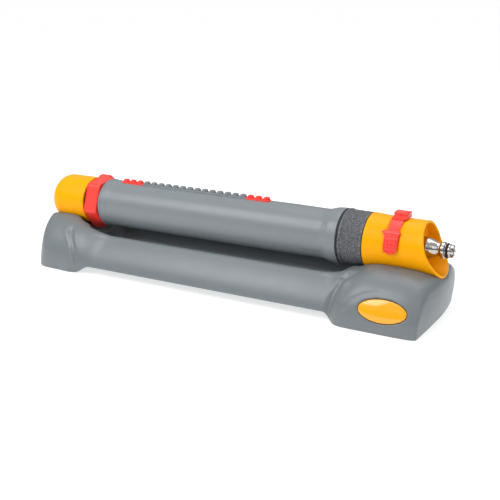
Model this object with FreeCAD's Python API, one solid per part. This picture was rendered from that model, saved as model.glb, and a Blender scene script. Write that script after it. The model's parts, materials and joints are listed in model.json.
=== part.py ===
import FreeCAD, Part
import math
import os
from FreeCAD import Vector as V

os.makedirs("parts", exist_ok=True)

# ---------------------------------------------------------------- driving dimensions (mm)
# Row frame: +X towards the hose inlet, +Z up, ground at z = 0, origin under the middle of the
# overall length. Most numbers below are along the tube axis, measured from the joint between
# the spray tube's collar and the grip ring; they are moved to the row frame on export.
AXIS_H = 74.2          # tube axis above the ground
SHIFT_X = 138.1        # collar joint to the middle of the overall length
TUBE_R = 27.0          # spray tube outside radius
TUBE_WALL = 2.0
TUBE_X0, TUBE_X1 = -309.8, -2.0
CAP_R = 27.9           # left end cap
CAP_X0, CAP_X1 = -388.4, -332.6
HEX_X0, HEX_X1 = -328.6, -310.6
HEX_FLAT = 29.0        # hexagonal ring, across-flats / 2
HEX_VERTEX = 32.6      # cut-off corners
CASE_RO, CASE_RI = 25.2, 23.5
GRIP_X0, GRIP_X1 = 0.5, 26.6
GRIP_RI = 25.55
HOUS_X0 = 27.4
SHAFT_R = 6.0          # hub shaft
SHAFT_BORE = 6.06
STEM_R = 5.0           # left stem
STEM_BORE = 5.06
PIN_R = 1.5            # gear pins and turbine shaft
PIN_BORE = 1.55
GEAR_M = 0.8
GEAR_Z_BIG, GEAR_Z_SMALL = 22, 11
GEAR_D = GEAR_M * (GEAR_Z_BIG + GEAR_Z_SMALL) / 2.0
ANG_B, ANG_C = 210.0, 270.0
JET_PITCH = 10.0
POD_WALL = 3.0
GROUND = -AXIS_H

X = V(1, 0, 0)


def cyl(x0, x1, r, y=0.0, z=0.0):
    return Part.makeCylinder(r, x1 - x0, V(x0, y, z), X)


def tube(x0, x1, ro, ri, y=0.0, z=0.0):
    return cyl(x0, x1, ro, y, z).cut(cyl(x0 - 1, x1 + 1, ri, y, z))


def rev(pts):
    """Closed (x, r) outline turned about the tube axis."""
    p = [V(a, 0, b) for a, b in pts]
    w = Part.makePolygon(p + [p[0]])
    return Part.Face(w).revolve(V(0, 0, 0), X, 360)


def rev_at(pts, y, z):
    s = rev(pts)
    s.translate(V(0, y, z))
    return s


def box(x0, x1, y0, y1, z0, z1):
    return Part.makeBox(x1 - x0, y1 - y0, z1 - z0, V(x0, y0, z0))


def sector(x0, x1, ri, ro, a0, a1):
    """Ring sector between angles a0..a1 (degrees, from +Y towards +Z)."""
    def p(r, a):
        return V(x0, r * math.cos(math.radians(a)), r * math.sin(math.radians(a)))
    am = (a0 + a1) / 2.0
    e = [Part.Arc(p(ro, a0), p(ro, am), p(ro, a1)).toShape(),
         Part.makeLine(p(ro, a1), p(ri, a1)),
         Part.Arc(p(ri, a1), p(ri, am), p(ri, a0)).toShape(),
         Part.makeLine(p(ri, a0), p(ro, a0))]
    return Part.Face(Part.Wire(e)).extrude(V(x1 - x0, 0, 0))


def fuse(first, *rest):
    s = first
    for r in rest:
        s = s.fuse(r)
    return s.removeSplitter()


def polar(r, a):
    return r * math.cos(math.radians(a)), r * math.sin(math.radians(a))


def gear(x0, x1, z, tooth_angle, y=0.0, zc=0.0, thin=0.12):
    """Involute spur gear, a tooth centred on tooth_angle."""
    m = GEAR_M
    rp, al = m * z / 2.0, math.radians(20)
    rb, ra, rf = rp * math.cos(al), rp + 0.75 * m, rp - 1.0 * m
    half = (math.pi * m / 2.0 - thin) / 2.0 / rp + (math.tan(al) - al)
    flank = []
    r0 = max(rb, rf)
    for i in range(6):
        r = r0 + (ra - r0) * i / 5.0
        a = math.acos(min(1.0, rb / r))
        flank.append((r, half - (math.tan(a) - a)))
    pts = []
    for k in range(z):
        c = math.radians(tooth_angle) + 2 * math.pi * k / z
        gap = math.pi / z
        pts.append((rf, c - gap))
        pts.append((rf, c - max(flank[0][1], 0.0) - 0.02))
        for r, h in flank:
            pts.append((r, c - h))
        for r, h in reversed(flank):
            pts.append((r, c + h))
        pts.append((rf, c + flank[0][1] + 0.02))
    vs = [V(x0, y + r * math.cos(a), zc + r * math.sin(a)) for r, a in pts]
    return Part.Face(Part.makePolygon(vs + [vs[0]])).extrude(V(x1 - x0, 0, 0))


# ---------------------------------------------------------------- base
def interp(tab, z, i):
    for a, b in zip(tab, tab[1:]):
        if b[0] <= z <= a[0] or a[0] <= z <= b[0]:
            t = (z - a[0]) / (b[0] - a[0])
            return a[i] + t * (b[i] - a[i])
    return tab[-1][i]


# height, left end, right end, half width
POD_R = [(-74.2, 6.0, 103.5, 70.0), (-69.0, 5.2, 105.0, 70.0), (-60.0, 6.0, 108.0, 68.8),
         (-50.0, 8.0, 110.4, 66.0), (-40.0, 12.0, 111.2, 61.6), (-32.0, 16.5, 110.4, 55.8),
         (-26.0, 21.0, 107.8, 49.6), (-21.5, 26.5, 103.6, 42.5), (-18.4, 32.5, 98.5, 35.0),
         (-16.4, 38.5, 92.5, 28.5)]
POD_L = [(-74.2, -388.6, -318.0, 63.5), (-66.0, -388.8, -308.5, 63.2), (-58.0, -389.1, -302.5, 62.0),
         (-51.0, -389.6, -299.0, 60.4), (-44.0, -390.2, -298.0, 57.8), (-37.5, -390.9, -299.0, 54.6),
         (-31.0, -391.3, -303.0, 50.0), (-25.5, -391.1, -311.0, 44.8), (-20.5, -390.1, -321.5, 38.6),
         (-16.5, -388.0, -334.0, 31.6), (-13.6, -384.0, -345.0, 25.5)]


def section(zv, xl, xr, b, nl, nr, xc, inset=0.0, crown=0.0):
    pts = []
    n = 48
    for k in range(n):
        a = 2 * math.pi * k / n
        ca, sa = math.cos(a), math.sin(a)
        e = nr if ca >= 0 else nl
        ax = (xr - inset - xc) if ca >= 0 else (xc - xl - inset)
        r = (abs(ca) ** e + abs(sa) ** e) ** (-1.0 / e)
        bow = 1.0 - (crown * (r * sa) ** 2 if ca >= 0 else 0.0)
        pts.append(V(xc + ax * r * ca * bow, (b - inset) * r * sa, zv))
    c = Part.BSplineCurve()
    c.interpolate(Points=pts, PeriodicFlag=True)
    return Part.Wire([c.toShape()])


def pod(tab, nl, nr, xc, inset=0.0, drop=0.0, crown=0.0):
    ws = []
    last = len(tab) - 1
    for i, (z, xl, xr, b) in enumerate(tab):
        k = i / float(last)
        ws.append(section(z - drop, xl, xr, b, nl - (nl - 2.6) * k, nr - (nr - 2.6) * k, xc, inset,
                          crown * (0.3 + 0.7 * min(1.0, 3.0 * k))))
    return Part.makeLoft(ws, True, False)


def prism_x(yz, x0, x1):
    p = [V(x0, a, b) for a, b in yz]
    return Part.Face(Part.makePolygon(p + [p[0]])).extrude(V(x1 - x0, 0, 0))


def mirror_yz(half):
    return half + [(-a, b) for a, b in reversed(half)]


RAIL_X0, RAIL_X1 = -345.0, 40.0
rail_out = mirror_yz([(60.0, -65.4), (59.2, -61.5), (56.8, -55.5), (53.4, -49.5), (49.0, -43.6),
                      (44.2, -38.4), (40.0, -34.4), (37.6, -32.2), (36.2, -31.5), (34.6, -31.5)])
rail_in = mirror_yz([(57.0, -66.5), (56.2, -62.0), (54.0, -57.0), (51.0, -51.6), (46.8, -46.0),
                     (42.0, -40.6), (38.4, -36.8), (36.0, -36.0), (35.2, -47.0), (32.6, -54.4), (27.0, -56.4)])
trough = mirror_yz([(33.4, -30.0), (32.8, -38.0), (31.6, -46.0), (28.6, -52.0), (25.0, -53.4)])

pods = pod(POD_R, 6.5, 6.5, 58.0, 0.0, 0.0, 0.10).fuse(pod(POD_L, 3.6, 4.6, -352.0))
solid_base = pods.fuse(prism_x(rail_out, RAIL_X0, RAIL_X1))
# hollow from below, saddle and trough walls kept
under_r = pod([(-75.2, 6.0, 103.5, 70.0)] + POD_R[1:], 6.5, 6.5, 58.0, POD_WALL, 3.2, 0.10)
under_l = pod([(-75.2, -388.6, -318.0, 63.5)] + POD_L[1:], 3.6, 4.6, -352.0, POD_WALL, 3.2)
under_rail = prism_x(rail_in, RAIL_X0 + 6, RAIL_X1 - 8)
keep = [prism_x(mirror_yz([(36.2, -28.0), (35.6, -47.0), (32.6, -54.6), (27.0, -56.4)]), -338.0, 30.0),
        cyl(-415, -330, CAP_R + 3.2), rev([(-349, 0), (-349, 31.2), (-341, 33.6), (-336, 37.0), (-326, 39.6), (-318, 42.2),
                                            (-308, 44.8), (-296, 46.0), (-296, 0)]), cyl(-10, 30, 34.8), cyl(26, 115, 32.4)]
hollow = under_r.fuse(under_l).fuse(under_rail)
for k in keep:
    hollow = hollow.cut(k)
base = solid_base.cut(hollow)
# saddles: cap, ring clearance, trough, collar clearance, housing
base = base.cut(prism_x(trough, -322.0, 10.0))
base = base.cut(cyl(-420, -332.0, CAP_R + 0.05))
ring_way = [(-345.0, 0), (-345.0, CAP_R + 0.05), (-339.0, 29.6), (-333.0, 33.8), (-326.0, 35.8), (-318.0, 38.6), (-310.0, 41.2),
            (-290.0, 44.0), (-290.0, 0)]
base = base.cut(rev(ring_way))
base = base.cut(cyl(-325, 15, 33.8))
base = base.cut(rev([(-6.0, 0), (-6.0, 39.0), (12.0, 37.0), (20.0, 33.6), (27.0, 31.6), (27.0, 0)]))
housing_saddle = [(26.9, 0), (26.9, 29.5), (30, 29.5), (50, 28.3), (85, 27.9), (130, 28.6), (130, 0)]
base = base.cut(rev(housing_saddle))
# finger gap under the scoop lip, bosses for the fixing screws
SCREWS = [(-362.0, 'cap'), (44.0, 'housing'), (78.0, 'housing')]
BOSS_R, BOSS_HOLE = 4.2, 4.4
for sx, _ in SCREWS:
    base = base.cut(Part.makeCylinder(BOSS_HOLE, 40, V(sx, 0, -62), V(0, 0, 1)))
    seat_z = -36.0
    seat = Part.makeCylinder(8.0, 8.0, V(sx, 0, seat_z - 1.5), V(0, 0, 1)).cut(
        Part.makeCylinder(2.2, 20, V(sx, 0, seat_z - 4), V(0, 0, 1)))
    seat = seat.cut(Part.makeCylinder(BOSS_HOLE, 12, V(sx, 0, seat_z + 1.0), V(0, 0, 1)))
    seat = seat.cut(rev(housing_saddle)).cut(cyl(-420, -332.0, CAP_R + 0.05))
    base = base.fuse(seat)
# oval badge seat on the front of the right pod
BADGE = V(66.0, -65.05, -51.0)
BADGE_A, BADGE_B = 25.0, 11.5
tilt = FreeCAD.Rotation(V(0, 0, 1), 1.2).multiply(FreeCAD.Rotation(V(1, 0, 0), -19.0))


def oval(a, b, y0, y1):
    """Elliptic slab; local +Y points into the pod."""
    e = Part.Ellipse(V(0, 0, 0), a, b).toShape()
    f = Part.Face(Part.Wire([e]))
    f.rotate(V(0, 0, 0), V(1, 0, 0), 90)
    s = f.extrude(V(0, y1 - y0, 0))
    s.translate(V(0, y0, 0))
    s.Placement = FreeCAD.Placement(BADGE, tilt).multiply(s.Placement)
    return s


pad = oval(BADGE_A + 4.0, BADGE_B + 4.0, 1.5, 7.5).common(solid_base)
base = base.fuse(pad)
base = base.cut(oval(BADGE_A + 0.6, BADGE_B + 0.6, -12.0, 3.6))
base_shell = base

lens = [(0.0, 1.0), (1.0, 1.0), (1.6, 0.965), (2.1, 0.90), (2.5, 0.78)]
badge = oval(BADGE_A, BADGE_B, -0.6, 3.6)
ws = []
for h, s in lens[1:]:
    e = Part.Ellipse(V(0, 0, 0), BADGE_A * s, BADGE_B * (s - (1 - s) * 0.6)).toShape()
    e.rotate(V(0, 0, 0), V(1, 0, 0), 90)
    e.translate(V(0, -h + 0.4, 0))
    e.Placement = FreeCAD.Placement(BADGE, tilt).multiply(e.Placement)
    ws.append(Part.Wire([e]))
badge = badge.fuse(Part.makeLoft(ws, True, False))

# ---------------------------------------------------------------- left end cap and bush
def dome(xe, depth, n, r):
    """(x, r) points of a rounded end, from its rim to its pole."""
    pts = []
    for i in range(13):
        t = math.pi / 2 * i / 12.0
        pts.append((xe + depth * (1.0 - math.sin(t) ** (2.0 / n)), r * math.cos(t) ** (2.0 / n) if i < 12 else 0.0))
    return pts


CAP_DOME, CAP_POWER = 20.9, 2.43
cap_pts = [(CAP_X1, CAP_R)] + dome(CAP_X0, CAP_DOME, CAP_POWER, CAP_R)
cap_in = [(CAP_X1 + 1, 24.9), (-352.0, 24.9), (-352.0, 0.0), (CAP_X1 + 1, 0.0)]
cap_in2 = [(-356.0, 24.9)] + dome(CAP_X0 + 3.4, CAP_DOME - 2.0, CAP_POWER, 24.9) + [(-356.0, 0.0)]
end_cap = rev(cap_pts + [(CAP_X1, 0.0)]).cut(rev(cap_in)).cut(rev(cap_in2))
end_cap = end_cap.cut(cyl(-360, -348, 8.0))
cap_boss = Part.makeCylinder(BOSS_R, 14.0, V(-362, 0, -34.9), V(0, 0, 1)).cut(
    Part.makeCylinder(1.4, 12.0, V(-362, 0, -35.0), V(0, 0, 1)))
end_cap = end_cap.fuse(cap_boss.cut(cyl(-370, -354, 20.5)))
cap_bush = rev([(-357.5, STEM_BORE), (-357.5, 8.0), (-352.0, 8.0), (-352.0, 9.6), (-350.4, 9.6),
                (-350.4, STEM_BORE)])

# ---------------------------------------------------------------- hexagonal width ring and its valve tube
def hexagon(r_flat, r_vertex, x0, x1):
    p = [V(x0, *polar(r_flat / math.cos(math.radians(30)), HEX_TURN + 60 * k)) for k in range(6)]
    h = Part.Face(Part.makePolygon(p + [p[0]])).extrude(V(x1 - x0, 0, 0))
    return h.common(cyl(x0 - 1, x1 + 1, r_vertex))


HEX_TURN = 70.0
ring_body = hexagon(HEX_FLAT, HEX_VERTEX, HEX_X0 + 1.6, HEX_X1 - 1.0)
ring_body = ring_body.fuse(hexagon(HEX_FLAT - 0.5, HEX_VERTEX - 0.9, HEX_X0, HEX_X1))
width_ring = ring_body.cut(cyl(HEX_X0 + 3.0, HEX_X1 + 1, 24.6)).cut(cyl(HEX_X0 - 1, HEX_X0 + 4, 8.0))
for k in range(6):
    yy, zz = polar(16.0, 30 + 60 * k)
    width_ring = width_ring.cut(cyl(HEX_X0 - 1, HEX_X0 + 4, 4.2, yy, zz))

VALVE_RO, VALVE_RI = 6.0, 4.6
valve = tube(-318.0, -70.0, VALVE_RO, VALVE_RI)
valve = valve.fuse(cyl(-352.0 + 2.0, -318.0, STEM_R)).fuse(cyl(HEX_X0, HEX_X0 + 3.0, 8.0))
valve = valve.fuse(cyl(-356.5, -350.0, STEM_R)).fuse(cyl(-320.0, -316.0, VALVE_RO))
for xa, xb in ((-292.0, -259.0), (-123.0, -90.5)):
    valve = valve.cut(box(xa, xb, -2.4, 2.4, 0, 8))
valve = valve.cut(box(-250.0, -130.0, -3.2, 3.2, -8, 8))
valve_tube = valve
stem_seal = rev([(-315.5, VALVE_RO), (-315.5, 7.9), (-313.5, 7.9), (-313.5, VALVE_RO)])

# ---------------------------------------------------------------- spray tube and water pipe
PIPE_RI, PIPE_RO = 8.0, 10.0
shell_out = [(-325.0, 24.2), (TUBE_X0, 24.2), (TUBE_X0, 27.9), (-300.0, 27.9), (-297.5, 27.35), (-270, 27.1), (-150, 27.0),
             (-66.0, 27.0), (-64.0, 27.3), (-36.0, 27.2), (-30.0, 26.6), (-22.0, 26.7), (-17.0, 27.9), (-13.5, 29.2),
             (-5.0, 30.0), (-3.0, 30.0), (TUBE_X1, 29.4)]
shell = rev(shell_out + [(TUBE_X1, 24.6), (-306.0, 24.6), (-306.0, 22.4), (-325.0, 22.4)])


def stadium(x0, x1, half, z0, z1):
    """Lengthwise pad with round ends."""
    b = box(x0 + half, x1 - half, -half, half, z0, z1)
    return b.fuse(Part.makeCylinder(half, z1 - z0, V(x0 + half, 0, z0), V(0, 0, 1))).fuse(
        Part.makeCylinder(half, z1 - z0, V(x1 - half, 0, z0), V(0, 0, 1)))


slot = stadium(-293.0, -91.0, 4.6, 20.0, 32.0)
spray_tube = shell.cut(slot)
# two raised panel edges near the collar
for a0, a1 in ((100, 150), (155, 215), (-30, 30), (35, 80)):
    spray_tube = spray_tube.fuse(sector(-62.0, -38.0, 26.0, 27.6, a0, a1))

pipe = tube(-316.8 - 4.0, -20.0, PIPE_RO, PIPE_RI)
pipe = pipe.fuse(box(-294.5, -89.5, -6.6, 6.6, 7.0, 23.0).cut(cyl(-300, -80, PIPE_RI)))
pipe = pipe.cut(box(-291.0, -93.0, -3.4, 3.4, 4.0, 21.0))
for jx in [-286 + 10.0 * k for k in range(20)]:
    pipe = pipe.cut(Part.makeCylinder(1.8, 5.0, V(jx, 0, 19.5), V(0, 0, 1)))
spider_l = tube(-310.0, -307.2, 22.3, PIPE_RO)
spider_r = tube(-30.0, -26.0, 24.5, PIPE_RO)
spider_l = spider_l.fuse(cyl(-320.8, -316.6, PIPE_RO)).cut(cyl(-322, -316, VALVE_RO + 0.06)).cut(cyl(-316.6, -300, PIPE_RI))
for k in range(6):
    yy, zz = polar(16.5, 30 + 60 * k)
    spider_l = spider_l.cut(cyl(-312, -305, 3.6, yy, zz))
    spider_r = spider_r.cut(cyl(-32, -24, 4.4, yy, zz))
water_pipe = pipe.cut(cyl(-330, -316.6, 20)).fuse(spider_l).fuse(spider_r)

JETS_L = [-286.0, -276.0, -266.0]
JETS_M = [-256.0 + k * 130.0 / 13.0 for k in range(14)]
JETS_R = [-116.5, -106.5, -96.5]


def jet_pad(x0, x1, xs, round_l, round_r):
    half = 4.4
    lo = box(x0 + (half if round_l else 0), x1 - (half if round_r else 0), -half, half, 23.0, 27.9)
    if round_l:
        lo = lo.fuse(Part.makeCylinder(half, 4.9, V(x0 + half, 0, 23.0), V(0, 0, 1)))
    if round_r:
        lo = lo.fuse(Part.makeCylinder(half, 4.9, V(x1 - half, 0, 23.0), V(0, 0, 1)))
    for jx in xs:
        dome = Part.Face(Part.makePolygon([V(0, 0, 27.0), V(3.9, 0, 27.0), V(3.9, 0, 28.6), V(3.5, 0, 29.8),
                                           V(2.7, 0, 30.8), V(1.7, 0, 31.3), V(0, 0, 31.3), V(0, 0, 27.0)]))
        d = dome.revolve(V(0, 0, 0), V(0, 0, 1), 360)
        d.translate(V(jx, 0, 0))
        lo = lo.fuse(d)
    for jx in xs:
        lo = lo.cut(Part.makeCylinder(0.7, 12.0, V(jx, 0, 22.0), V(0, 0, 1)))
        lo = lo.cut(Part.makeCylinder(1.5, 3.0, V(jx, 0, 22.0), V(0, 0, 1)))
    return lo


left_end_jets = jet_pad(-292.5, -261.0, JETS_L, True, False)
jet_strip = jet_pad(-261.0, -121.5, JETS_M, False, False)
right_end_jets = jet_pad(-121.5, -91.5, JETS_R, False, True)

# drive hub: flange inside the tube collar, hollow shaft with side ports, closed end carrying the gear
hub = rev([(-20.0, PIPE_RO), (-20.0, 12.5), (-6.0, 12.5), (-6.0, 24.5), (-2.6, 24.5), (-2.6, 8.2), (0.9, 8.2), (0.9, SHAFT_R),
           (26.0, SHAFT_R), (26.0, 0.0), (14.5, 0.0), (14.5, 4.0), (-8.0, 4.0), (-8.0, PIPE_RO)])
for k in range(4):
    h = Part.makeCylinder(2.0, 8.0, V(10.2, 0, 0), V(0, math.cos(math.radians(45 + 90 * k)), math.sin(math.radians(45 + 90 * k))))
    hub = hub.cut(h)
tube_hub = hub
drive_gear = gear(21.0, 25.0, GEAR_Z_BIG, ANG_C).cut(cyl(20, 26, SHAFT_R))
pipe_plugged = water_pipe.fuse(tube(-20.2, -8.2, PIPE_RO, PIPE_RI))
water_pipe = pipe_plugged.cut(rev([(-15.0, PIPE_RO - 0.9), (-15.0, 11), (-12.8, 11), (-12.8, PIPE_RO - 0.9)]))
pipe_o_ring = rev([(-14.7, PIPE_RO - 0.9), (-14.7, PIPE_RO), (-13.1, PIPE_RO), (-13.1, PIPE_RO - 0.9)])

# ---------------------------------------------------------------- fixed drive case
CASE_X0, CASE_X1 = 1.4, 72.0
case = tube(CASE_X0, CASE_X1, CASE_RO, CASE_RI)
case = case.fuse(tube(CASE_X0, 4.0, CASE_RI + 0.2, SHAFT_BORE))
case = case.fuse(tube(4.0, 6.6, 11.0, 8.6))
case = case.cut(sector(12.0, 15.2, 22.0, 27.0, -8.5, 68.5)).cut(sector(12.0, 15.2, 22.0, 27.0, 171.5, 248.5))
drive_case = case
shaft_seal = rev([(4.0, SHAFT_BORE), (4.0, 8.6), (6.4, 8.6), (6.4, SHAFT_BORE)])
face_seal = rev([(-1.4, 25.4), (-1.4, 28.9), (0.0, 28.9), (0.0, 25.4)]).fuse(tube(-1.4, 1.4, 25.2, 23.6)).fuse(
    tube(-1.4, 0.0, 25.6, 23.6))

# flow control: grip ring outside, ported disc inside
grip = rev([(GRIP_X0, GRIP_RI), (GRIP_X0, 29.7), (1.0, 30.2), (3.0, 30.2), (4.2, 29.1), (23.6, 28.8), (24.2, 29.3),
            (26.1, 29.3), (GRIP_X1, 28.8), (GRIP_X1, GRIP_RI)])
for a in (30.0, 210.0):
    grip = grip.cut(sector(12.4, 14.8, 25.0, 27.1, a - 30 - 6.1, a - 30 + 6.1))
grip_ring = grip
disc = cyl(12.5, 14.7, 23.2).cut(cyl(11, 16, 6.6))
for a in (0.0, 180.0):
    disc = disc.fuse(sector(12.5, 14.7, 22.6, 27.0, a - 6.0, a + 6.0))
for a in (35.0, 145.0):
    yy, zz = polar(14.5, a)
    disc = disc.cut(cyl(11, 16, 4.6, yy, zz))
flow_disc = disc

# ---------------------------------------------------------------- gearbox
plate = cyl(16.0, 18.6, CASE_RI).cut(cyl(15, 20, SHAFT_BORE))
for a in (35.0, 145.0):
    yy, zz = polar(14.5, a)
    plate = plate.cut(cyl(15, 20, 4.4, yy, zz))
By, Bz = polar(GEAR_D, ANG_B)
Cy, Cz = polar(GEAR_D, ANG_C)
for yy, zz in ((By, Bz), (Cy, Cz)):
    plate = plate.cut(cyl(15.0, 20, PIN_R, yy, zz))
bearing_plate = plate
gplate = cyl(40.0, 43.0, CASE_RI).cut(cyl(39, 44, PIN_BORE))
for yy, zz in ((By, Bz), (Cy, Cz)):
    gplate = gplate.cut(cyl(39.0, 44, PIN_R, yy, zz))
for a in (30.0, 90.0, 150.0, 330.0):
    yy, zz = polar(15.0, a)
    gplate = gplate.cut(cyl(39, 44, 4.5, yy, zz))
gear_plate = gplate
gear_pins = Part.makeCompound([cyl(16.2, 42.8, PIN_R, By, Bz), cyl(16.2, 42.8, PIN_R, Cy, Cz)])

# C: small gear with the hub gear, big gear with B's small gear.  B: big gear with the turbine pinion.
half_small = 180.0 / GEAR_Z_SMALL
half_big = 180.0 / GEAR_Z_BIG
ang_CB = math.degrees(math.atan2(Bz - Cz, By - Cy))
idler_c = gear(20.6, 25.4, GEAR_Z_SMALL, ANG_C + 180.0 + half_small, Cy, Cz).fuse(
    gear(27.4, 31.4, GEAR_Z_BIG, ang_CB, Cy, Cz)).fuse(cyl(25.4, 27.4, 3.4, Cy, Cz)).fuse(
    cyl(31.4, 39.6, 2.6, Cy, Cz)).fuse(cyl(19.0, 20.6, 2.6, Cy, Cz)).cut(cyl(15, 45, PIN_BORE, Cy, Cz))
idler_b = gear(27.0, 31.8, GEAR_Z_SMALL, ang_CB + 180.0 + half_small, By, Bz).fuse(
    gear(33.6, 37.6, GEAR_Z_BIG, ANG_B + 180.0, By, Bz)).fuse(cyl(31.8, 33.6, 3.4, By, Bz)).fuse(
    cyl(37.6, 39.6, 2.6, By, Bz)).fuse(cyl(19.0, 27.0, 2.6, By, Bz)).cut(cyl(15, 45, PIN_BORE, By, Bz))

# turbine: shaft on the axis, pinion, hub and curved blades
turbine_shaft = cyl(32.4, 62.0, PIN_R)
turbine_pinion = gear(33.2, 38.0, GEAR_Z_SMALL, ANG_B + half_small).cut(cyl(30, 45, PIN_R))
turb = tube(48.5, 56.5, 7.0, PIN_R)
turb = turb.fuse(tube(49.5, 51.0, 19.0, 6.5))
for k in range(10):
    a = 36.0 * k
    blade = box(49.5, 56.5, 6.5, 19.5, -0.7, 0.7)
    blade.rotate(V(0, 0, 0), V(0, 1, 0), 0)
    blade.rotate(V(0, 0, 0), X, a)
    turb = turb.fuse(blade)
turbine_wheel = turb
nozzle = cyl(59.0, 62.4, CASE_RI).cut(cyl(58, 64, PIN_BORE))
for k in range(4):
    for s in (-1, 1):
        a = 45 + 90 * k + s * 16
        yy, zz = polar(16.5, a)
        h = cyl(55, 67, 2.2, yy, zz)
        t = V(0, -math.sin(math.radians(a)) * s, math.cos(math.radians(a)) * s)
        h = Part.makeCylinder(2.0, 14.0, V(60.7, yy, zz) - (X * 0.72 + t * 0.69) * 7.0, X * 0.72 + t * 0.69)
        nozzle = nozzle.cut(h)
nozzle = nozzle.fuse(tube(62.4, 65.0, 4.0, PIN_BORE)).cut(cyl(58, 66, PIN_BORE))
nozzle = nozzle.cut(cyl(62.0, 67.0, 1.0, 0, 9.5))
nozzle_plate = nozzle
# reversing flap on the inlet side of the nozzle plate, rocking on its own pin
FLAP_Y, FLAP_Z = 0.0, 9.5
reversing_flap = sector(63.0, 65.0, 5.2, 21.0, 74, 106).fuse(sector(63.0, 65.0, 14.0, 21.0, 50, 130)).cut(
    cyl(60, 70, PIN_BORE, FLAP_Y, FLAP_Z))
flap_pin = cyl(60.4, 66.4, PIN_R, FLAP_Y, FLAP_Z)
nozzle_plate = nozzle_plate.cut(cyl(60.4, 63.0, PIN_R, FLAP_Y, FLAP_Z))

# ---------------------------------------------------------------- inlet
inlet_plate = cyl(70.0, 76.0, CASE_RI).fuse(cyl(72.0, 76.0, 25.75))
inlet_plate = inlet_plate.cut(cyl(69, 78, 8.0)).fuse(tube(76.0, 79.0, 12.0, 8.0))
case_o_ring = rev([(70.8, CASE_RI - 1.0), (70.8, CASE_RI), (72.0, CASE_RI), (72.0, CASE_RI - 1.0)])
inlet_plate = inlet_plate.cut(rev([(70.8, CASE_RI - 1.0), (70.8, CASE_RI + 0.01), (72.0, CASE_RI + 0.01), (72.0, CASE_RI - 1.0)]))
nip = [(71.0, 4.0), (71.0, 8.0), (80.4, 8.0), (80.4, 13.4), (84.0, 13.4), (84.6, 12.8), (86.6, 12.8), (87.2, 13.4), (89.4, 13.4),
       (90.6, 12.2), (92.4, 9.4), (94.4, 7.4), (96.6, 6.4), (100.4, 6.3), (101.6, 6.9), (103.0, 8.5), (105.9, 8.5),
       (106.4, 7.3), (107.0, 7.3), (107.0, 6.2), (110.0, 6.2), (110.0, 7.3), (111.2, 7.3), (111.8, 6.5), (114.6, 6.5),
       (115.0, 6.0), (115.0, 4.2), (112.0, 4.0)]
nipple = rev(nip)
for k in range(6):
    c = box(113.2, 116.0, -1.1, 1.1, 3.4, 8.0)
    c.rotate(V(0, 0, 0), X, 60 * k + 30)
    nipple = nipple.cut(c)
for k in range(6):
    f = box(80.0, 84.4, -12.0, 12.0, 12.6, 16.0)
    f.rotate(V(0, 0, 0), X, 60 * k)
    nipple = nipple.cut(f)
inlet_nipple = nipple
inlet_o_ring = Part.makeTorus(6.2 + 0.85, 0.85, V(108.5, 0, 0), X).fuse(tube(107.75, 109.25, 7.05, 6.2))
nipple_washer = tube(79.0, 80.4, 12.4, 8.0)
filt = cyl(66.4, 71.0, 7.4).cut(cyl(67.4, 71.2, 6.2))
for k in range(6):
    filt = filt.cut(cyl(66, 68.5, 0.9, *polar(3.6, 60 * k)))
for k in range(8):
    sl = box(68.2, 69.8, -0.7, 0.7, 5.0, 8.4)
    sl.rotate(V(0, 0, 0), X, 45 * k)
    filt = filt.cut(sl)
inlet_filter = filt

# ---------------------------------------------------------------- motor housing with its scoop
HO = [(HOUS_X0, 28.9), (HOUS_X0 + 0.6, 29.4), (30.5, 29.3), (38, 28.8), (48, 28.25), (60, 27.95), (85, 27.8), (108, 28.2),
      (118, 28.4)]
housing = rev(HO + [(118, 0), (HOUS_X0, 0)])
HI = [(HOUS_X0 - 1, CASE_RO), (33.0, CASE_RO), (34.0, 25.8), (80.0, 25.8), (90, 25.5), (119, 25.9)]
housing = housing.cut(rev(HI + [(119, 0), (HOUS_X0 - 1, 0)]))
pts = [V(86.4, -60, 36.0), V(87.1, -60, 27.5), V(88.7, -60, 20.5), V(90.4, -60, 13.5), V(93.2, -60, 3.2),
       V(98.4, -60, -8.6), V(104.2, -60, -19.5), V(107.4, -60, -25.5), V(108.2, -60, -34.0)]
bs = Part.BSplineCurve()
bs.interpolate(pts)
e1 = bs.toShape()
cut_face = Part.Face(Part.Wire([e1, Part.makeLine(pts[-1], V(125, -60, -34)), Part.makeLine(V(125, -60, -34), V(125, -60, 36)),
                                Part.makeLine(V(125, -60, 36), pts[0])]))
housing = housing.cut(cut_face.extrude(V(0, 120, 0)))
housing = housing.cut(sector(50.3, 65.9, 27.2, 31.0, -9.0, 187.5))
# flat web that closes the scoop behind the nipple flange
web = tube(76.4, 79.0, 26.0, 12.6)
housing = housing.fuse(web)
for sx in (44.0, 78.0):
    b = Part.makeCylinder(BOSS_R, 12.0, V(sx, 0, -34.9), V(0, 0, 1)).cut(Part.makeCylinder(1.4, 12.0, V(sx, 0, -35.0), V(0, 0, 1)))
    housing = housing.fuse(b.cut(cyl(sx - 10, sx + 10, 26.2)))
motor_housing = housing.cut(sector(50.3, 65.9, 27.2, 31.0, -9.0, 187.5))

# fixing screws: heads under the saddle seats
scr = []
for sx, _ in SCREWS:
    head = Part.makeCylinder(3.6, 2.2, V(sx, 0, -39.7), V(0, 0, 1)).cut(box(sx - 2.6, sx + 2.6, -0.5, 0.5, -41, -38.8)).cut(
        box(sx - 0.5, sx + 0.5, -2.6, 2.6, -41, -38.8))
    scr.append(head.fuse(Part.makeCylinder(1.4, 8.8, V(sx, 0, -37.5), V(0, 0, 1))))
fixing_screws = Part.makeCompound(scr)

# ---------------------------------------------------------------- range sliders
BX0, BX1 = 51.7, 64.3
front = sector(50.5, 65.5, 28.9, 30.4, 146.0, 181.0)
end = cyl(50.5, 65.5, 30.4).cut(cyl(50, 66, 28.9))
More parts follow.
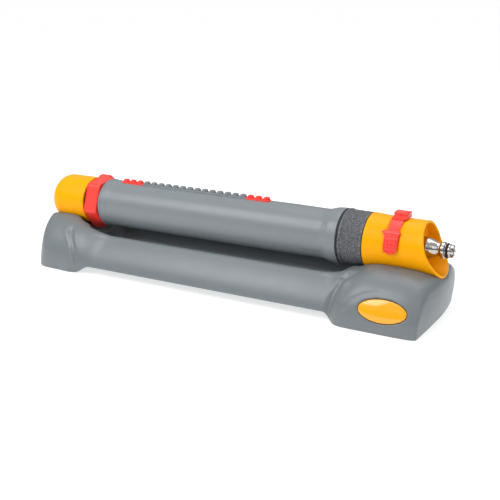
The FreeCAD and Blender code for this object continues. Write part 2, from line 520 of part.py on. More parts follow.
# rounded lower end of the pad
rnd = Part.makeCylinder(7.5, 12.0, V(58.0, -24.0, -0.9), V(0, -1, 0))
ringp = tube(50.5, 65.5, 30.4, 28.9).common(box(50, 66, -40, 0, -20, 4)).common(rnd)
front = front.fuse(ringp)
front = front.fuse(sector(49.2, 66.6, 28.9, 31.0, 141.0, 147.0))
for xx0, xx1 in ((50.55, 51.35), (64.65, 65.45)):
    front = front.fuse(sector(xx0, xx1, 27.5, 29.2, 143.0, 183.0))
for r in range(5):
    for cidx in range(3):
        a = 151.5 + r * 7.2
        xx = 53.4 + cidx * 4.6
        rib = sector(xx - 1.5, xx + 1.5, 29.6, 31.3, a - 1.5, a + 1.5)
        front = front.fuse(rib)
front = front.fuse(Part.Face(Part.makePolygon([V(49.3, *polar(28.9, 142)), V(46.6, *polar(28.9, 144)),
        V(49.3, *polar(28.9, 146)), V(49.3, *polar(28.9, 142))])).extrude(V(0, *polar(1.6, 144))))
front_range_slider = front

rear = sector(BX0, BX1, 27.5, 28.6, 78.0, 150.0)
rear = rear.fuse(sector(50.5, 66.0, 29.4, 34.9, 76.0, 103.5).cut(sector(50.0, 66.5, 33.6, 36.0, 98.5, 105.0)))
rear = rear.fuse(sector(50.5, 66.0, 28.9, 30.5, 76.0, 106.0)).fuse(sector(BX0, BX1, 28.4, 29.2, 78.0, 105.0))
for a in (79.0, 84.0, 89.0, 94.0):
    rear = rear.fuse(sector(52.5, 64.0, 34.5, 35.3, a - 0.9, a + 0.9))
rear_range_slider = rear

# ---------------------------------------------------------------- export
NODES = {
    "base_shell": base_shell, "oval_badge": badge, "end_cap": end_cap, "cap_bush": cap_bush,
    "width_ring": width_ring, "width_valve_tube": valve_tube, "stem_seal": stem_seal,
    "spray_tube": spray_tube, "water_pipe": water_pipe, "jet_strip": jet_strip,
    "left_end_jets": left_end_jets, "right_end_jets": right_end_jets, "tube_hub": tube_hub,
    "pipe_o_ring": pipe_o_ring, "drive_gear": drive_gear, "drive_case": drive_case, "shaft_seal": shaft_seal,
    "face_seal": face_seal, "grip_ring": grip_ring, "flow_disc": flow_disc, "bearing_plate": bearing_plate,
    "gear_plate": gear_plate, "gear_pins": gear_pins, "idler_gear_c": idler_c, "idler_gear_b": idler_b,
    "turbine_shaft": turbine_shaft, "turbine_pinion": turbine_pinion, "turbine_wheel": turbine_wheel,
    "nozzle_plate": nozzle_plate, "reversing_flap": reversing_flap, "flap_pin": flap_pin,
    "inlet_plate": inlet_plate, "case_o_ring": case_o_ring, "inlet_nipple": inlet_nipple,
    "inlet_o_ring": inlet_o_ring, "nipple_washer": nipple_washer, "inlet_filter": inlet_filter,
    "motor_housing": motor_housing, "fixing_screws": fixing_screws,
    "front_range_slider": front_range_slider, "rear_range_slider": rear_range_slider,
}
for name, shape in NODES.items():
    s = shape.copy()
    s.translate(V(SHIFT_X, 0, AXIS_H))
    if s.ShapeType == "Compound" and len(s.Solids) == 1:
        s = s.Solids[0]
    bb = s.BoundBox
    print("%-20s solids %d valid %s  x %.2f %.2f  y %.2f %.2f  z %.2f %.2f  vol %.1f" % (
        name, len(s.Solids), s.isValid(), bb.XMin, bb.XMax, bb.YMin, bb.YMax, bb.ZMin, bb.ZMax, s.Volume / 1000.0))
    s.exportStep("parts/%s.step" % name)
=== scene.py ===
import bpy
import bmesh
import json
import math
import numpy as np
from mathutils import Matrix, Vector


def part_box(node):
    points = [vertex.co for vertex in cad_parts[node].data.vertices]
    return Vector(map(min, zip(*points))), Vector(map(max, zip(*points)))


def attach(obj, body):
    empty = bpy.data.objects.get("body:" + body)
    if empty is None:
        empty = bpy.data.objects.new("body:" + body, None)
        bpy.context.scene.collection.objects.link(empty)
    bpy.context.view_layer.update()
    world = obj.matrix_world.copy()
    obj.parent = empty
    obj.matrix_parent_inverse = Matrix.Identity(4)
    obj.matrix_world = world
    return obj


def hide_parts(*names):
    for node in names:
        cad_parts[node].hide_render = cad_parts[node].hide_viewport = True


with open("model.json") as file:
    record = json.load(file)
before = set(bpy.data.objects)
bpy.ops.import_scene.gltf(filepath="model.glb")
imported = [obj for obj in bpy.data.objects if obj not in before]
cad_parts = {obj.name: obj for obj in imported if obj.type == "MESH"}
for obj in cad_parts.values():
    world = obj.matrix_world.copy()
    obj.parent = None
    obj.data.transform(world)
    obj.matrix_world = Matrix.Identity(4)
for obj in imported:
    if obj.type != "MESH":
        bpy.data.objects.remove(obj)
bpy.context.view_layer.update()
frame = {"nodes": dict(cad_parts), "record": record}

# Everything below is modelled in millimetres about the spray tube's axis, with x = 0 at the joint
# between the tube's collar and the grip ring, and moved to the row frame when a mesh is made.
_lo, _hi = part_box("face_seal")
AXIS_H = (_lo[2] + _hi[2]) / 2.0
SHIFT_X = _lo[0] + 0.0014
GROUND = -AXIS_H * 1000.0
rng = np.random.RandomState(7)


# ------------------------------------------------------------------ mesh helpers
def make(name, verts, faces, mat, body, repl=(), sharp=None, smooth=True):
    v = np.asarray(verts, dtype=float)
    v = np.column_stack([v[:, 0] / 1000.0 + SHIFT_X, v[:, 1] / 1000.0, v[:, 2] / 1000.0 + AXIS_H])
    me = bpy.data.meshes.new(name)
    me.from_pydata(v.tolist(), [], faces if isinstance(faces, list) else faces.tolist())
    me.update()
    bm = bmesh.new()
    bm.from_mesh(me)
    bmesh.ops.remove_doubles(bm, verts=bm.verts, dist=1e-6)
    bmesh.ops.recalc_face_normals(bm, faces=bm.faces)
    for f in bm.faces:
        f.smooth = smooth
    if sharp:
        lim = math.radians(sharp)
        for e in bm.edges:
            if len(e.link_faces) == 2 and e.calc_face_angle(0.0) > lim:
                e.smooth = False
    bm.to_mesh(me)
    bm.free()
    ob = bpy.data.objects.new(name, me)
    bpy.context.scene.collection.objects.link(ob)
    me.materials.append(mat)
    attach(ob, body)
    if repl:
        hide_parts(*repl)
    return ob


def fillet(pts, seg=5):
    """pts: (x, r, radius) corners of an open or closed outline; returns (x, r) with rounded corners."""
    out = []
    n = len(pts)
    for i, p in enumerate(pts):
        x, r, rad = p[0], p[1], (p[2] if len(p) > 2 else 0.0)
        if rad <= 0 or i == 0 or i == n - 1:
            out.append((x, r))
            continue
        a, b, c = np.array(pts[i - 1][:2], float), np.array([x, r], float), np.array(pts[i + 1][:2], float)
        u, w = a - b, c - b
        lu, lw = np.linalg.norm(u), np.linalg.norm(w)
        u, w = u / lu, w / lw
        ang = math.acos(max(-1, min(1, float(u @ w))))
        if ang > math.radians(178):
            out.append((x, r))
            continue
        t = min(rad / math.tan(ang / 2), 0.48 * lu, 0.48 * lw)
        rr = t * math.tan(ang / 2)
        bis = (u + w) / np.linalg.norm(u + w)
        cen = b + bis * (rr / math.sin(ang / 2))
        p0, p1 = b + u * t, b + w * t
        a0, a1 = math.atan2(*(p0 - cen)[::-1]), math.atan2(*(p1 - cen)[::-1])
        d = (a1 - a0 + math.pi) % (2 * math.pi) - math.pi
        for k in range(seg + 1):
            aa = a0 + d * k / seg
            out.append((cen[0] + rr * math.cos(aa), cen[1] + rr * math.sin(aa)))
    return out


def lathe(profile, nseg=160, closed=True, warp=None):
    """Turns an (x, r) outline about the X axis. warp(x, r, theta) -> (x, r) may shape it."""
    verts, faces, rows = [], [], []
    th = np.linspace(0, 2 * math.pi, nseg, endpoint=False)
    for x, r in profile:
        if r < 1e-6:
            rows.append(("p", len(verts)))
            verts.append((x, 0.0, 0.0))
            continue
        rows.append(("r", len(verts)))
        if warp:
            for t in th:
                xx, rr = warp(x, r, t)
                verts.append((xx, rr * math.cos(t), rr * math.sin(t)))
        else:
            for t in th:
                verts.append((x, r * math.cos(t), r * math.sin(t)))
    pairs = list(zip(rows, rows[1:] + ([rows[0]] if closed else [])))
    if not closed:
        pairs = list(zip(rows, rows[1:]))
    for (ka, ia), (kb, ib) in pairs:
        if ka == "p" and kb == "p":
            continue
        for j in range(nseg):
            j2 = (j + 1) % nseg
            if ka == "p":
                faces.append((ia, ib + j, ib + j2))
            elif kb == "p":
                faces.append((ia + j, ib, ia + j2))
            else:
                faces.append((ia + j, ib + j, ib + j2, ia + j2))
    return verts, faces


def offset_mesh(v, dx, dy, dz):
    return [(a + dx, b + dy, c + dz) for a, b, c in v]


def surface_nets(F, origin, h):
    """Quads on the zero level of a sampled field, negative inside."""
    nx, ny, nz = F.shape
    s = F < 0
    cshape = (nx - 1, ny - 1, nz - 1)
    acc = np.zeros(cshape + (3,))
    cnt = np.zeros(cshape, dtype=np.int32)
    quads_edges = []
    for ax in range(3):
        sl0 = [slice(None)] * 3
        sl1 = [slice(None)] * 3
        sl0[ax], sl1[ax] = slice(0, -1), slice(1, None)
        a, b = F[tuple(sl0)], F[tuple(sl1)]
        cr = s[tuple(sl0)] != s[tuple(sl1)]
        idx = np.argwhere(cr)
        fa, fb = a[cr], b[cr]
        t = fa / (fa - fb)
        p = idx.astype(float)
        p[:, ax] += t
        o1, o2 = [k for k in range(3) if k != ax]
        for d1 in (0, 1):
            for d2 in (0, 1):
                c = idx.copy()
                c[:, o1] -= d1
                c[:, o2] -= d2
                ok = (c[:, o1] >= 0) & (c[:, o2] >= 0) & (c[:, o1] < cshape[o1]) & (c[:, o2] < cshape[o2])
                cc = c[ok]
                np.add.at(acc, (cc[:, 0], cc[:, 1], cc[:, 2]), p[ok])
                np.add.at(cnt, (cc[:, 0], cc[:, 1], cc[:, 2]), 1)
        quads_edges.append((ax, idx, fa < 0))
    used = cnt > 0
    vid = -np.ones(cshape, dtype=np.int64)
    vid[used] = np.arange(used.sum())
    verts = acc[used] / cnt[used][:, None] * h + np.asarray(origin, float)
    faces = []
    for ax, idx, neg in quads_edges:
        o1, o2 = [k for k in range(3) if k != ax]
        ok = (idx[:, o1] >= 1) & (idx[:, o2] >= 1) & (idx[:, o1] < cshape[o1]) & (idx[:, o2] < cshape[o2])
        i, ng = idx[ok], neg[ok]
        c = []
        for d1, d2 in ((0, 0), (1, 0), (1, 1), (0, 1)):
            k = i.copy()
            k[:, o1] -= d1
            k[:, o2] -= d2
            c.append(vid[k[:, 0], k[:, 1], k[:, 2]])
        q = np.stack(c, 1)
        flip = ng if ax != 1 else ~ng
        q[flip] = q[flip][:, ::-1]
        faces.append(q)
    return verts, np.concatenate(faces)


def field_mesh(fn, lo, hi, h, steps=3):
    """Meshes fn(x, y, z) < 0 in a box and slides the points onto the exact surface."""
    ax = [np.arange(lo[k] - 2 * h, hi[k] + 2 * h + h * 0.5, h) for k in range(3)]
    X, Y, Z = np.meshgrid(*ax, indexing="ij")
    F = fn(X.ravel(), Y.ravel(), Z.ravel()).reshape(X.shape)
    v, q = surface_nets(F, (ax[0][0], ax[1][0], ax[2][0]), h)
    e = h * 0.25
    for _ in range(steps):
        f0 = fn(v[:, 0], v[:, 1], v[:, 2])
        g = np.stack([(fn(v[:, 0] + e, v[:, 1], v[:, 2]) - fn(v[:, 0] - e, v[:, 1], v[:, 2])),
                      (fn(v[:, 0], v[:, 1] + e, v[:, 2]) - fn(v[:, 0], v[:, 1] - e, v[:, 2])),
                      (fn(v[:, 0], v[:, 1], v[:, 2] + e) - fn(v[:, 0], v[:, 1], v[:, 2] - e))], 1) / (2 * e)
        g2 = np.maximum((g ** 2).sum(1), 0.2)
        d = g * (f0 / g2)[:, None]
        n = np.linalg.norm(d, axis=1)
        k = np.minimum(1.0, 0.45 * h / np.maximum(n, 1e-9))
        v = v - d * k[:, None]
    return v, q


def smin(a, b, k):
    hh = np.clip(0.5 + 0.5 * (b - a) / k, 0, 1)
    return b * (1 - hh) + a * hh - k * hh * (1 - hh)


def smax(a, b, k):
    return -smin(-a, -b, k)


def rbox(x, y, z, c, half, r):
    qx, qy, qz = np.abs(x - c[0]) - half[0] + r, np.abs(y - c[1]) - half[1] + r, np.abs(z - c[2]) - half[2] + r
    return (np.sqrt(np.maximum(qx, 0) ** 2 + np.maximum(qy, 0) ** 2 + np.maximum(qz, 0) ** 2) +
            np.minimum(np.maximum(np.maximum(qx, qy), qz), 0) - r)


# ------------------------------------------------------------------ materials
def srgb(h):
    h = h.lstrip("#")
    c = [int(h[i:i + 2], 16) / 255.0 for i in (0, 2, 4)]
    return [x / 12.92 if x <= 0.04045 else ((x + 0.055) / 1.055) ** 2.4 for x in c]


def finish_mat(name, colour, rough, metallic=0.0, grain=900.0, bump=0.12, bump_mm=0.05, vary=0.05, rough_vary=0.06,
               wear=0.10, coat=0.0, sss=0.0, scratch=0.0, spec=0.5, vary_scale=14.0, voronoi=None, coat_rough=0.2, glint_speck_scale=None):
    m = bpy.data.materials.new(name)
    m.use_nodes = True
    nt = m.node_tree
    nt.nodes.clear()
    N = nt.nodes.new
    L = nt.links.new
    out = N("ShaderNodeOutputMaterial")
    b = N("ShaderNodeBsdfPrincipled")
    L(b.outputs[0], out.inputs[0])
    b.inputs["Metallic"].default_value = metallic
    b.inputs["Specular IOR Level"].default_value = spec
    b.inputs["Coat Weight"].default_value = coat
    b.inputs["Coat Roughness"].default_value = coat_rough
    if sss:
        b.inputs["Subsurface Weight"].default_value = sss
        b.inputs["Subsurface Radius"].default_value = (0.004, 0.002, 0.001)
        b.inputs["Subsurface Scale"].default_value = 0.4
    tc = N("ShaderNodeTexCoord")
    big = N("ShaderNodeTexNoise")
    big.inputs["Scale"].default_value = vary_scale
    big.inputs["Detail"].default_value = 4.0
    L(tc.outputs["Object"], big.inputs["Vector"])
    fine = N("ShaderNodeTexNoise")
    fine.inputs["Scale"].default_value = grain
    fine.inputs["Detail"].default_value = 3.0
    fine.inputs["Roughness"].default_value = 0.6
    L(tc.outputs["Object"], fine.inputs["Vector"])
    # base colour: slow batch variation, fine moulding grain, lighter rubbed edges
    dark = [c * (1 - vary) for c in colour] + [1.0]
    light = [min(1.0, c * (1 + vary)) for c in colour] + [1.0]
    mix1 = N("ShaderNodeMix")
    mix1.data_type = "RGBA"
    mix1.inputs[6].default_value = dark
    mix1.inputs[7].default_value = light
    L(big.outputs["Fac"], mix1.inputs[0])
    mix2 = N("ShaderNodeMix")
    mix2.data_type = "RGBA"
    mix2.blend_type = "OVERLAY"
    mix2.inputs[0].default_value = 0.10 if metallic < 0.5 else 0.05
    L(mix1.outputs[2], mix2.inputs[6])
    L(fine.outputs["Fac"], mix2.inputs[7])
    geo = N("ShaderNodeNewGeometry")
    ramp = N("ShaderNodeMapRange")
    ramp.inputs["From Min"].default_value = 0.53
    ramp.inputs["From Max"].default_value = 0.62
    ramp.inputs["To Min"].default_value = 0.0
    ramp.inputs["To Max"].default_value = wear
    L(geo.outputs["Pointiness"], ramp.inputs["Value"])
    mulw = N("ShaderNodeMath")
    mulw.operation = "MULTIPLY"
    L(ramp.outputs[0], mulw.inputs[0])
    L(fine.outputs["Fac"], mulw.inputs[1])
    mix3 = N("ShaderNodeMix")
    mix3.data_type = "RGBA"
    mix3.inputs[7].default_value = [min(1.0, c * 1.5 + 0.10) for c in colour] + [1.0]
    L(mulw.outputs[0], mix3.inputs[0])
    L(mix2.outputs[2], mix3.inputs[6])
    # light voronoi specks: painted glints, a painted highlight standing in for light catching the grip's raised dots
    if glint_speck_scale:
        sp = N("ShaderNodeTexVoronoi")
        sp.inputs["Scale"].default_value = glint_speck_scale
        L(tc.outputs["Object"], sp.inputs["Vector"])
        dr = N("ShaderNodeMapRange")
        dr.inputs["From Min"].default_value = 0.22
        dr.inputs["From Max"].default_value = 0.40
        dr.inputs["To Min"].default_value = 0.55
        dr.inputs["To Max"].default_value = 0.0
        L(sp.outputs["Distance"], dr.inputs["Value"])
        mix4 = N("ShaderNodeMix")
        mix4.data_type = "RGBA"
        mix4.inputs[7].default_value = (0.42, 0.43, 0.45, 1.0)
        L(dr.outputs[0], mix4.inputs[0])
        L(mix3.outputs[2], mix4.inputs[6])
        L(mix4.outputs[2], b.inputs["Base Color"])
    else:
        L(mix3.outputs[2], b.inputs["Base Color"])
    # roughness: broken up by handling marks
    marks = N("ShaderNodeTexNoise")
    marks.inputs["Scale"].default_value = 55.0
    marks.inputs["Detail"].default_value = 6.0
    marks.inputs["Roughness"].default_value = 0.7
    L(tc.outputs["Object"], marks.inputs["Vector"])
    rr = N("ShaderNodeMapRange")
    rr.inputs["From Min"].default_value = 0.3
    rr.inputs["From Max"].default_value = 0.7
    rr.inputs["To Min"].default_value = max(0.02, rough - rough_vary)
    rr.inputs["To Max"].default_value = min(1.0, rough + rough_vary)
    L(marks.outputs["Fac"], rr.inputs["Value"])
    L(rr.outputs[0], b.inputs["Roughness"])
    # bump: moulding grain plus optional lengthwise hairlines
    bp = N("ShaderNodeBump")
    bp.inputs["Strength"].default_value = bump
    bp.inputs["Distance"].default_value = bump_mm / 1000.0
    height = fine.outputs["Fac"]
    if voronoi:
        vo = N("ShaderNodeTexVoronoi")
        vo.inputs["Scale"].default_value = voronoi
        L(tc.outputs["Object"], vo.inputs["Vector"])
        ad = N("ShaderNodeMath")
        ad.operation = "ADD"
        L(vo.outputs["Distance"], ad.inputs[0])
        L(fine.outputs["Fac"], ad.inputs[1])
        height = ad.outputs[0]
    if scratch:
        mp = N("ShaderNodeMapping")
        mp.inputs["Scale"].default_value = (30.0, 1500.0, 1500.0)
        L(tc.outputs["Object"], mp.inputs["Vector"])
        sc = N("ShaderNodeTexNoise")
        sc.inputs["Scale"].default_value = 1.0
        sc.inputs["Detail"].default_value = 5.0
        L(mp.outputs[0], sc.inputs["Vector"])
        ml = N("ShaderNodeMath")
        ml.operation = "MULTIPLY_ADD"
        ml.inputs[1].default_value = scratch
        L(sc.outputs["Fac"], ml.inputs[0])
        L(height, ml.inputs[2])
        height = ml.outputs[0]
    L(height, bp.inputs["Height"])
    L(bp.outputs[0], b.inputs["Normal"])
    return m


GREY = srgb("#7A8185")
MAT = {
    "grey_shell": finish_mat("moulded_grey", srgb("#71787C"), 0.36, grain=1100, bump=0.22, bump_mm=0.06, vary=0.035, wear=0.25, scratch=0.12),
    "grey_tube": finish_mat("tube_grey", srgb("#7B8286"), 0.36, grain=1100, bump=0.20, bump_mm=0.05, vary=0.03, wear=0.25, scratch=0.15),
    # the grip's light specks are painted glints, a painted highlight for light on its raised dots
    "dark_grip": finish_mat("grip_grey", srgb("#4B4E52"), 0.42, grain=1400, bump=0.3, bump_mm=0.07, vary=0.05, wear=0.9, glint_speck_scale=720.0),
    "grey_rubber": finish_mat("jet_rubber", srgb("#7A8084"), 0.55, grain=800, bump=0.3, bump_mm=0.06, vary=0.06, wear=0.2, spec=0.35),
    "black_rubber": finish_mat("seal_rubber", srgb("#0B0C0D"), 0.5, grain=700, bump=0.3, bump_mm=0.06, vary=0.2, wear=0.2, spec=0.4),
    "black_plastic": finish_mat("black_moulding", srgb("#2A2C2E"), 0.42, grain=1000, bump=0.25, vary=0.08, wear=0.3),
    "orange_gloss": finish_mat("amber_gloss", srgb("#FFAA00"), 0.34, grain=420, bump=0.07, bump_mm=0.06, vary=0.02, rough_vary=0.05, wear=0.1, scratch=0.03, spec=0.12),
    "red_plastic": finish_mat("coral_plastic", srgb("#F5382C"), 0.38, grain=700, bump=0.12, bump_mm=0.05, vary=0.04, wear=0.25, coat=0.1),
    "red_rubber": finish_mat("coral_rubber", srgb("#F5382C"), 0.5, grain=800, bump=0.2, bump_mm=0.05, vary=0.05, wear=0.15, spec=0.4),
    "white_acetal": finish_mat("acetal", srgb("#E9E8E2"), 0.4, grain=900, bump=0.1, vary=0.03, wear=0.05, sss=0.1),
    "brass": finish_mat("brass", srgb("#CFA866"), 0.28, metallic=1.0, grain=600, bump=0.1, vary=0.08, wear=0.2, scratch=0.4),
    "steel": finish_mat("steel", srgb("#BFC1C3"), 0.3, metallic=1.0, grain=700, bump=0.1, vary=0.06, wear=0.2, scratch=0.6),
    "chrome": finish_mat("plated_metal", srgb("#BDB9B5"), 0.07, metallic=1.0, grain=300, bump=0.05, bump_mm=0.04, vary=0.06, rough_vary=0.05, wear=0.1, scratch=0.25),
}
for sp in frame["record"]["subparts"]:
    ob = frame["nodes"][sp["node"]]
    ob.data.materials.clear()
    ob.data.materials.append(MAT[sp["material_slot"]])
    for p in ob.data.polygons:
        p.material_index = 0


# ------------------------------------------------------------------ base shell
def smooth_table(tab, ext_lo, ext_hi, width=4.0, passes=2):
    """z -> columns, sampled densely and softened so that the sections follow a smooth curve."""
    t = sorted(ext_lo + tab + ext_hi)
    z = np.array([r[0] for r in t])
    zz = np.arange(z[0], z[-1], 0.25)
    cols = [np.interp(zz, z, np.array([r[i] for r in t])) for i in (1, 2, 3)]
    k = int(width / 0.25) | 1
    ker = np.ones(k) / k
    for _ in range(passes):
        cols = [np.convolve(np.pad(c, k // 2, mode="edge"), ker, mode="valid") for c in cols]
    return zz, cols


POD_R = [(-74.2, 6.0, 103.5, 70.0), (-69.0, 5.2, 105.0, 70.0), (-60.0, 6.0, 108.0, 68.8),
         (-50.0, 8.0, 110.4, 66.0), (-40.0, 12.0, 111.2, 61.6), (-32.0, 16.5, 110.4, 55.8),
         (-26.0, 21.0, 107.8, 49.6), (-21.5, 26.5, 103.6, 42.5), (-18.4, 32.5, 98.5, 35.0),
         (-16.4, 38.5, 92.5, 28.5)]
POD_L = [(-74.2, -388.6, -318.0, 63.5), (-66.0, -388.8, -308.5, 63.2), (-58.0, -389.1, -302.5, 62.0),
         (-51.0, -389.6, -299.0, 60.4), (-44.0, -390.2, -298.0, 57.8), (-37.5, -390.9, -299.0, 54.6),
         (-31.0, -391.3, -303.0, 50.0), (-25.5, -391.1, -311.0, 44.8), (-20.5, -390.1, -321.5, 38.6),
         (-16.5, -388.0, -334.0, 31.6), (-13.6, -384.0, -345.0, 25.5)]
TAB_R = smooth_table(POD_R, [(-90.0, 6.0, 100.0, 70.0), (-82.0, 6.0, 102.0, 70.0)],
                     [(-15.2, 45.0, 86.0, 20.0), (-14.6, 52.0, 78.0, 11.0), (-14.0, 57.0, 64.0, 3.0), (0.0, 57.0, 64.0, 1.5)], 3.0)
TAB_L = smooth_table(POD_L, [(-90.0, -388.4, -320.0, 63.5), (-82.0, -388.5, -319.0, 63.5)],
                     [(-12.4, -379.0, -352.0, 18.0), (-11.8, -372.0, -357.0, 9.0), (-11.2, -366.0, -360.0, 3.0), (0.0, -363.0, -360.0, 1.5)], 3.0)


def pod_raw(x, y, z, tab, xc, nl, nr, reach=0.0):
    zz, (cl, crr, cb) = tab
    xl, xr, b = np.interp(z, zz, cl), np.interp(z, zz, crr), np.interp(z, zz, cb)
    k = np.clip((z + 74.2) / 58.0, 0, 1)
    dx = x - xc
    right = dx >= 0
    e = np.where(right, nr - (nr - 2.6) * k, nl - (nl - 2.6) * k)
    a = np.where(right, xr + reach * np.clip((-15.0 - z) / 9.0, 0, 1) - xc, xc - xl)
    a = np.maximum(a, 1.0)
    u = np.abs(dx) / a
    w = np.abs(y) / b
    return (np.maximum(u, 1e-6) ** e + np.maximum(w, 1e-6) ** e) ** (1.0 / e) - 1.0


def normed(f, x, y, z, h=0.6):
    f0 = f(x, y, z)
    gx = (f(x + h, y, z) - f(x - h, y, z)) / (2 * h)
    gy = (f(x, y + h, z) - f(x, y - h, z)) / (2 * h)
    gz = (f(x, y, z + h) - f(x, y, z - h)) / (2 * h)
    g = np.sqrt(gx ** 2 + gy ** 2 + gz ** 2)
    return f0 / np.maximum(g, 0.004)


def far_box(x, y, z, x0, x1, b, top):
    """Distance to the pod's bounding box, so that its field grows properly away from it."""
    qx = np.maximum(np.maximum(x0 - x, x - x1), 0)
    qy = np.maximum(np.abs(y) - b, 0)
    qz = np.maximum(z - top, 0)
    return np.sqrt(qx ** 2 + qy ** 2 + qz ** 2)


def end_face(x, y, z):
    """Bowed panel that closes the right pod; it bows more the higher it is."""
    zz, (cl, crr, cb) = TAB_R
    bow = np.interp(z, [-74.2, -62.0, -50.0, -36.0, -25.0, -18.0], [0.0003, 0.0011, 0.0019, 0.0027, 0.0032, 0.0034])
    rear = np.interp(z, [-74.2, -62.0, -50.0, -36.0, -25.0, -18.0], [0.0014, 0.0020, 0.0027, 0.0031, 0.0033, 0.0034])
    bow = np.where(y > 0, rear, bow)
    return x - (np.interp(z, zz, crr) - bow * y * y)


def pod_r(x, y, z):
    side = normed(lambda a, b, c: pod_raw(a, b, np.minimum(c, -14.4), TAB_R, 58.0, 6.5, 6.5, 9.0), x, y, z)
    end = normed(end_face, x, y, z)
    soft = np.interp(z, [-74.2, -45.0, -28.0, -18.0], [1.0, 2.0, 6.0, 12.0])
    h = np.clip(0.5 - 0.5 * (side - end) / soft, 0, 1)
    d = side * (1 - h) + end * h + soft * h * (1 - h)
    fb = far_box(x, y, z, 5.2, 111.2, 70.0, -13.0)
    return np.where(fb > 0.01, np.maximum(d, fb), d)


def pod_l(x, y, z):
    d = normed(lambda a, b, c: pod_raw(a, b, np.minimum(c, -11.8), TAB_L, -352.0, 3.6, 4.6), x, y, z)
    fb = far_box(x, y, z, -391.5, -298.0, 63.5, -10.5)
    return np.where(fb > 0.01, np.maximum(d, fb), d)


def catmull(pts, n=8):
    p = [np.array(q, float) for q in pts]
    p = [2 * p[0] - p[1]] + p + [2 * p[-1] - p[-2]]
    out = []
    for i in range(1, len(p) - 2):
        for k in range(n):
            t = k / n
            out.append(0.5 * ((2 * p[i]) + (-p[i - 1] + p[i + 1]) * t + (2 * p[i - 1] - 5 * p[i] + 4 * p[i + 1] - p[i + 2]) * t * t +
                              (-p[i - 1] + 3 * p[i] - 3 * p[i + 1] + p[i + 2]) * t ** 3))
    out.append(p[-2])
    return np.array(out)


def poly_sdf(py, pz, poly):
    """Signed distance to a closed outline in the (|y|, z) half plane, negative inside."""
    d = np.full(py.shape, 1e9)
    inside = np.zeros(py.shape, dtype=bool)
    n = len(poly)
    for i in range(n):
        a, b = poly[i], poly[(i + 1) % n]
        e = b - a
        wx, wz = py - a[0], pz - a[1]
        t = np.clip((wx * e[0] + wz * e[1]) / max(e @ e, 1e-9), 0, 1)
        d = np.minimum(d, (wx - e[0] * t) ** 2 + (wz - e[1] * t) ** 2)
        c = ((a[1] > pz) != (b[1] > pz)) & (py < (b[0] - a[0]) * (pz - a[1]) / (b[1] - a[1] + 1e-12) + a[0])
        inside ^= c
    return np.where(inside, -1, 1) * np.sqrt(d)


rail_skin = catmull([(60.2, -80.0), (60.1, -70.0), (60.0, -65.4), (59.2, -61.5), (56.8, -55.5), (53.4, -49.5), (49.0, -43.6), (44.2, -38.4),
                     (40.2, -34.6), (37.4, -32.0), (35.0, -30.9), (31.0, -31.0)], 6)
RAIL_POLY = np.vstack([rail_skin, [(-80.0, -31.0), (-80.0, -80.0)]])
TROUGH = np.vstack([catmull([(33.8, -20.0), (33.4, -31.0), (32.8, -38.0), (31.6, -46.0), (28.6, -51.4), (24.0, -53.4)], 6),
                    [(-60.0, -53.4), (-60.0, -20.0)]])
_gy = np.arange(-0.5, 84.0, 0.5)
_gz = np.arange(-92.0, 12.0, 0.5)
_GY, _GZ = np.meshgrid(_gy, _gz, indexing="ij")
RAIL_GRID = poly_sdf(_GY, _GZ, RAIL_POLY)
TROUGH_GRID = poly_sdf(_GY, _GZ, TROUGH)


def look(grid, y, z):
    """Bilinear lookup of a half-plane distance table."""
    fy = np.clip((np.abs(y) - _gy[0]) / 0.5, 0, len(_gy) - 1.001)
    fz = np.clip((z - _gz[0]) / 0.5, 0, len(_gz) - 1.001)
    iy, iz = fy.astype(int), fz.astype(int)
    ty, tz = fy - iy, fz - iz
    return (grid[iy, iz] * (1 - ty) * (1 - tz) + grid[iy + 1, iz] * ty * (1 - tz) +
            grid[iy, iz + 1] * (1 - ty) * tz + grid[iy + 1, iz + 1] * ty * tz)


def rev_cut(x, rho, prof):
    """Distance to a body of revolution given as x -> r, measured radially."""
    return rho - np.interp(x, prof[0], prof[1])


SADDLE_R = (np.array([-6.0, 0.0, 8.0, 14.0, 20.0, 24.0, 27.0, 27.6, 30.0, 50.0, 85.0, 130.0]),
            np.array([37.6, 36.0, 34.2, 32.9, 31.9, 31.4, 30.9, 29.6, 29.5, 28.35, 27.95, 28.7]))
SADDLE_L = (np.array([-430.0, -345.0, -339.0, -333.0, -326.0, -318.0, -310.0, -290.0]),
            np.array([28.0, 28.0, 29.7, 33.8, 35.8, 38.6, 41.2, 44.0]))
BAD_C = np.array([66.0, -65.05, -51.0])
_t = math.radians(-19.0)
_zr = math.radians(1.2)
RX = np.array([[1, 0, 0], [0, math.cos(_t), -math.sin(_t)], [0, math.sin(_t), math.cos(_t)]])
RZ = np.array([[math.cos(_zr), -math.sin(_zr), 0], [math.sin(_zr), math.cos(_zr), 0], [0, 0, 1]])
BAD_R = RZ @ RX


def badge_local(x, y, z):
    p = np.stack([x - BAD_C[0], y - BAD_C[1], z - BAD_C[2]], -1) @ BAD_R
    return p[..., 0], p[..., 1], p[..., 2]


def line_dist(x, y, z, pts):
    """Distance to a polyline and the position along it, 0 to 1."""
    best = np.full(x.shape, 1e9)
    pos = np.zeros(x.shape)
    n = len(pts) - 1
    for i in range(n):
        a, b = np.array(pts[i], float), np.array(pts[i + 1], float)
        e = b - a
        t = np.clip(((x - a[0]) * e[0] + (y - a[1]) * e[1] + (z - a[2]) * e[2]) / (e @ e), 0, 1)
        d = np.sqrt((x - a[0] - e[0] * t) ** 2 + (y - a[1] - e[1] * t) ** 2 + (z - a[2] - e[2] * t) ** 2)
        m = d < best
        best = np.where(m, d, best)
        pos = np.where(m, (i + t) / n, pos)
    return best, pos


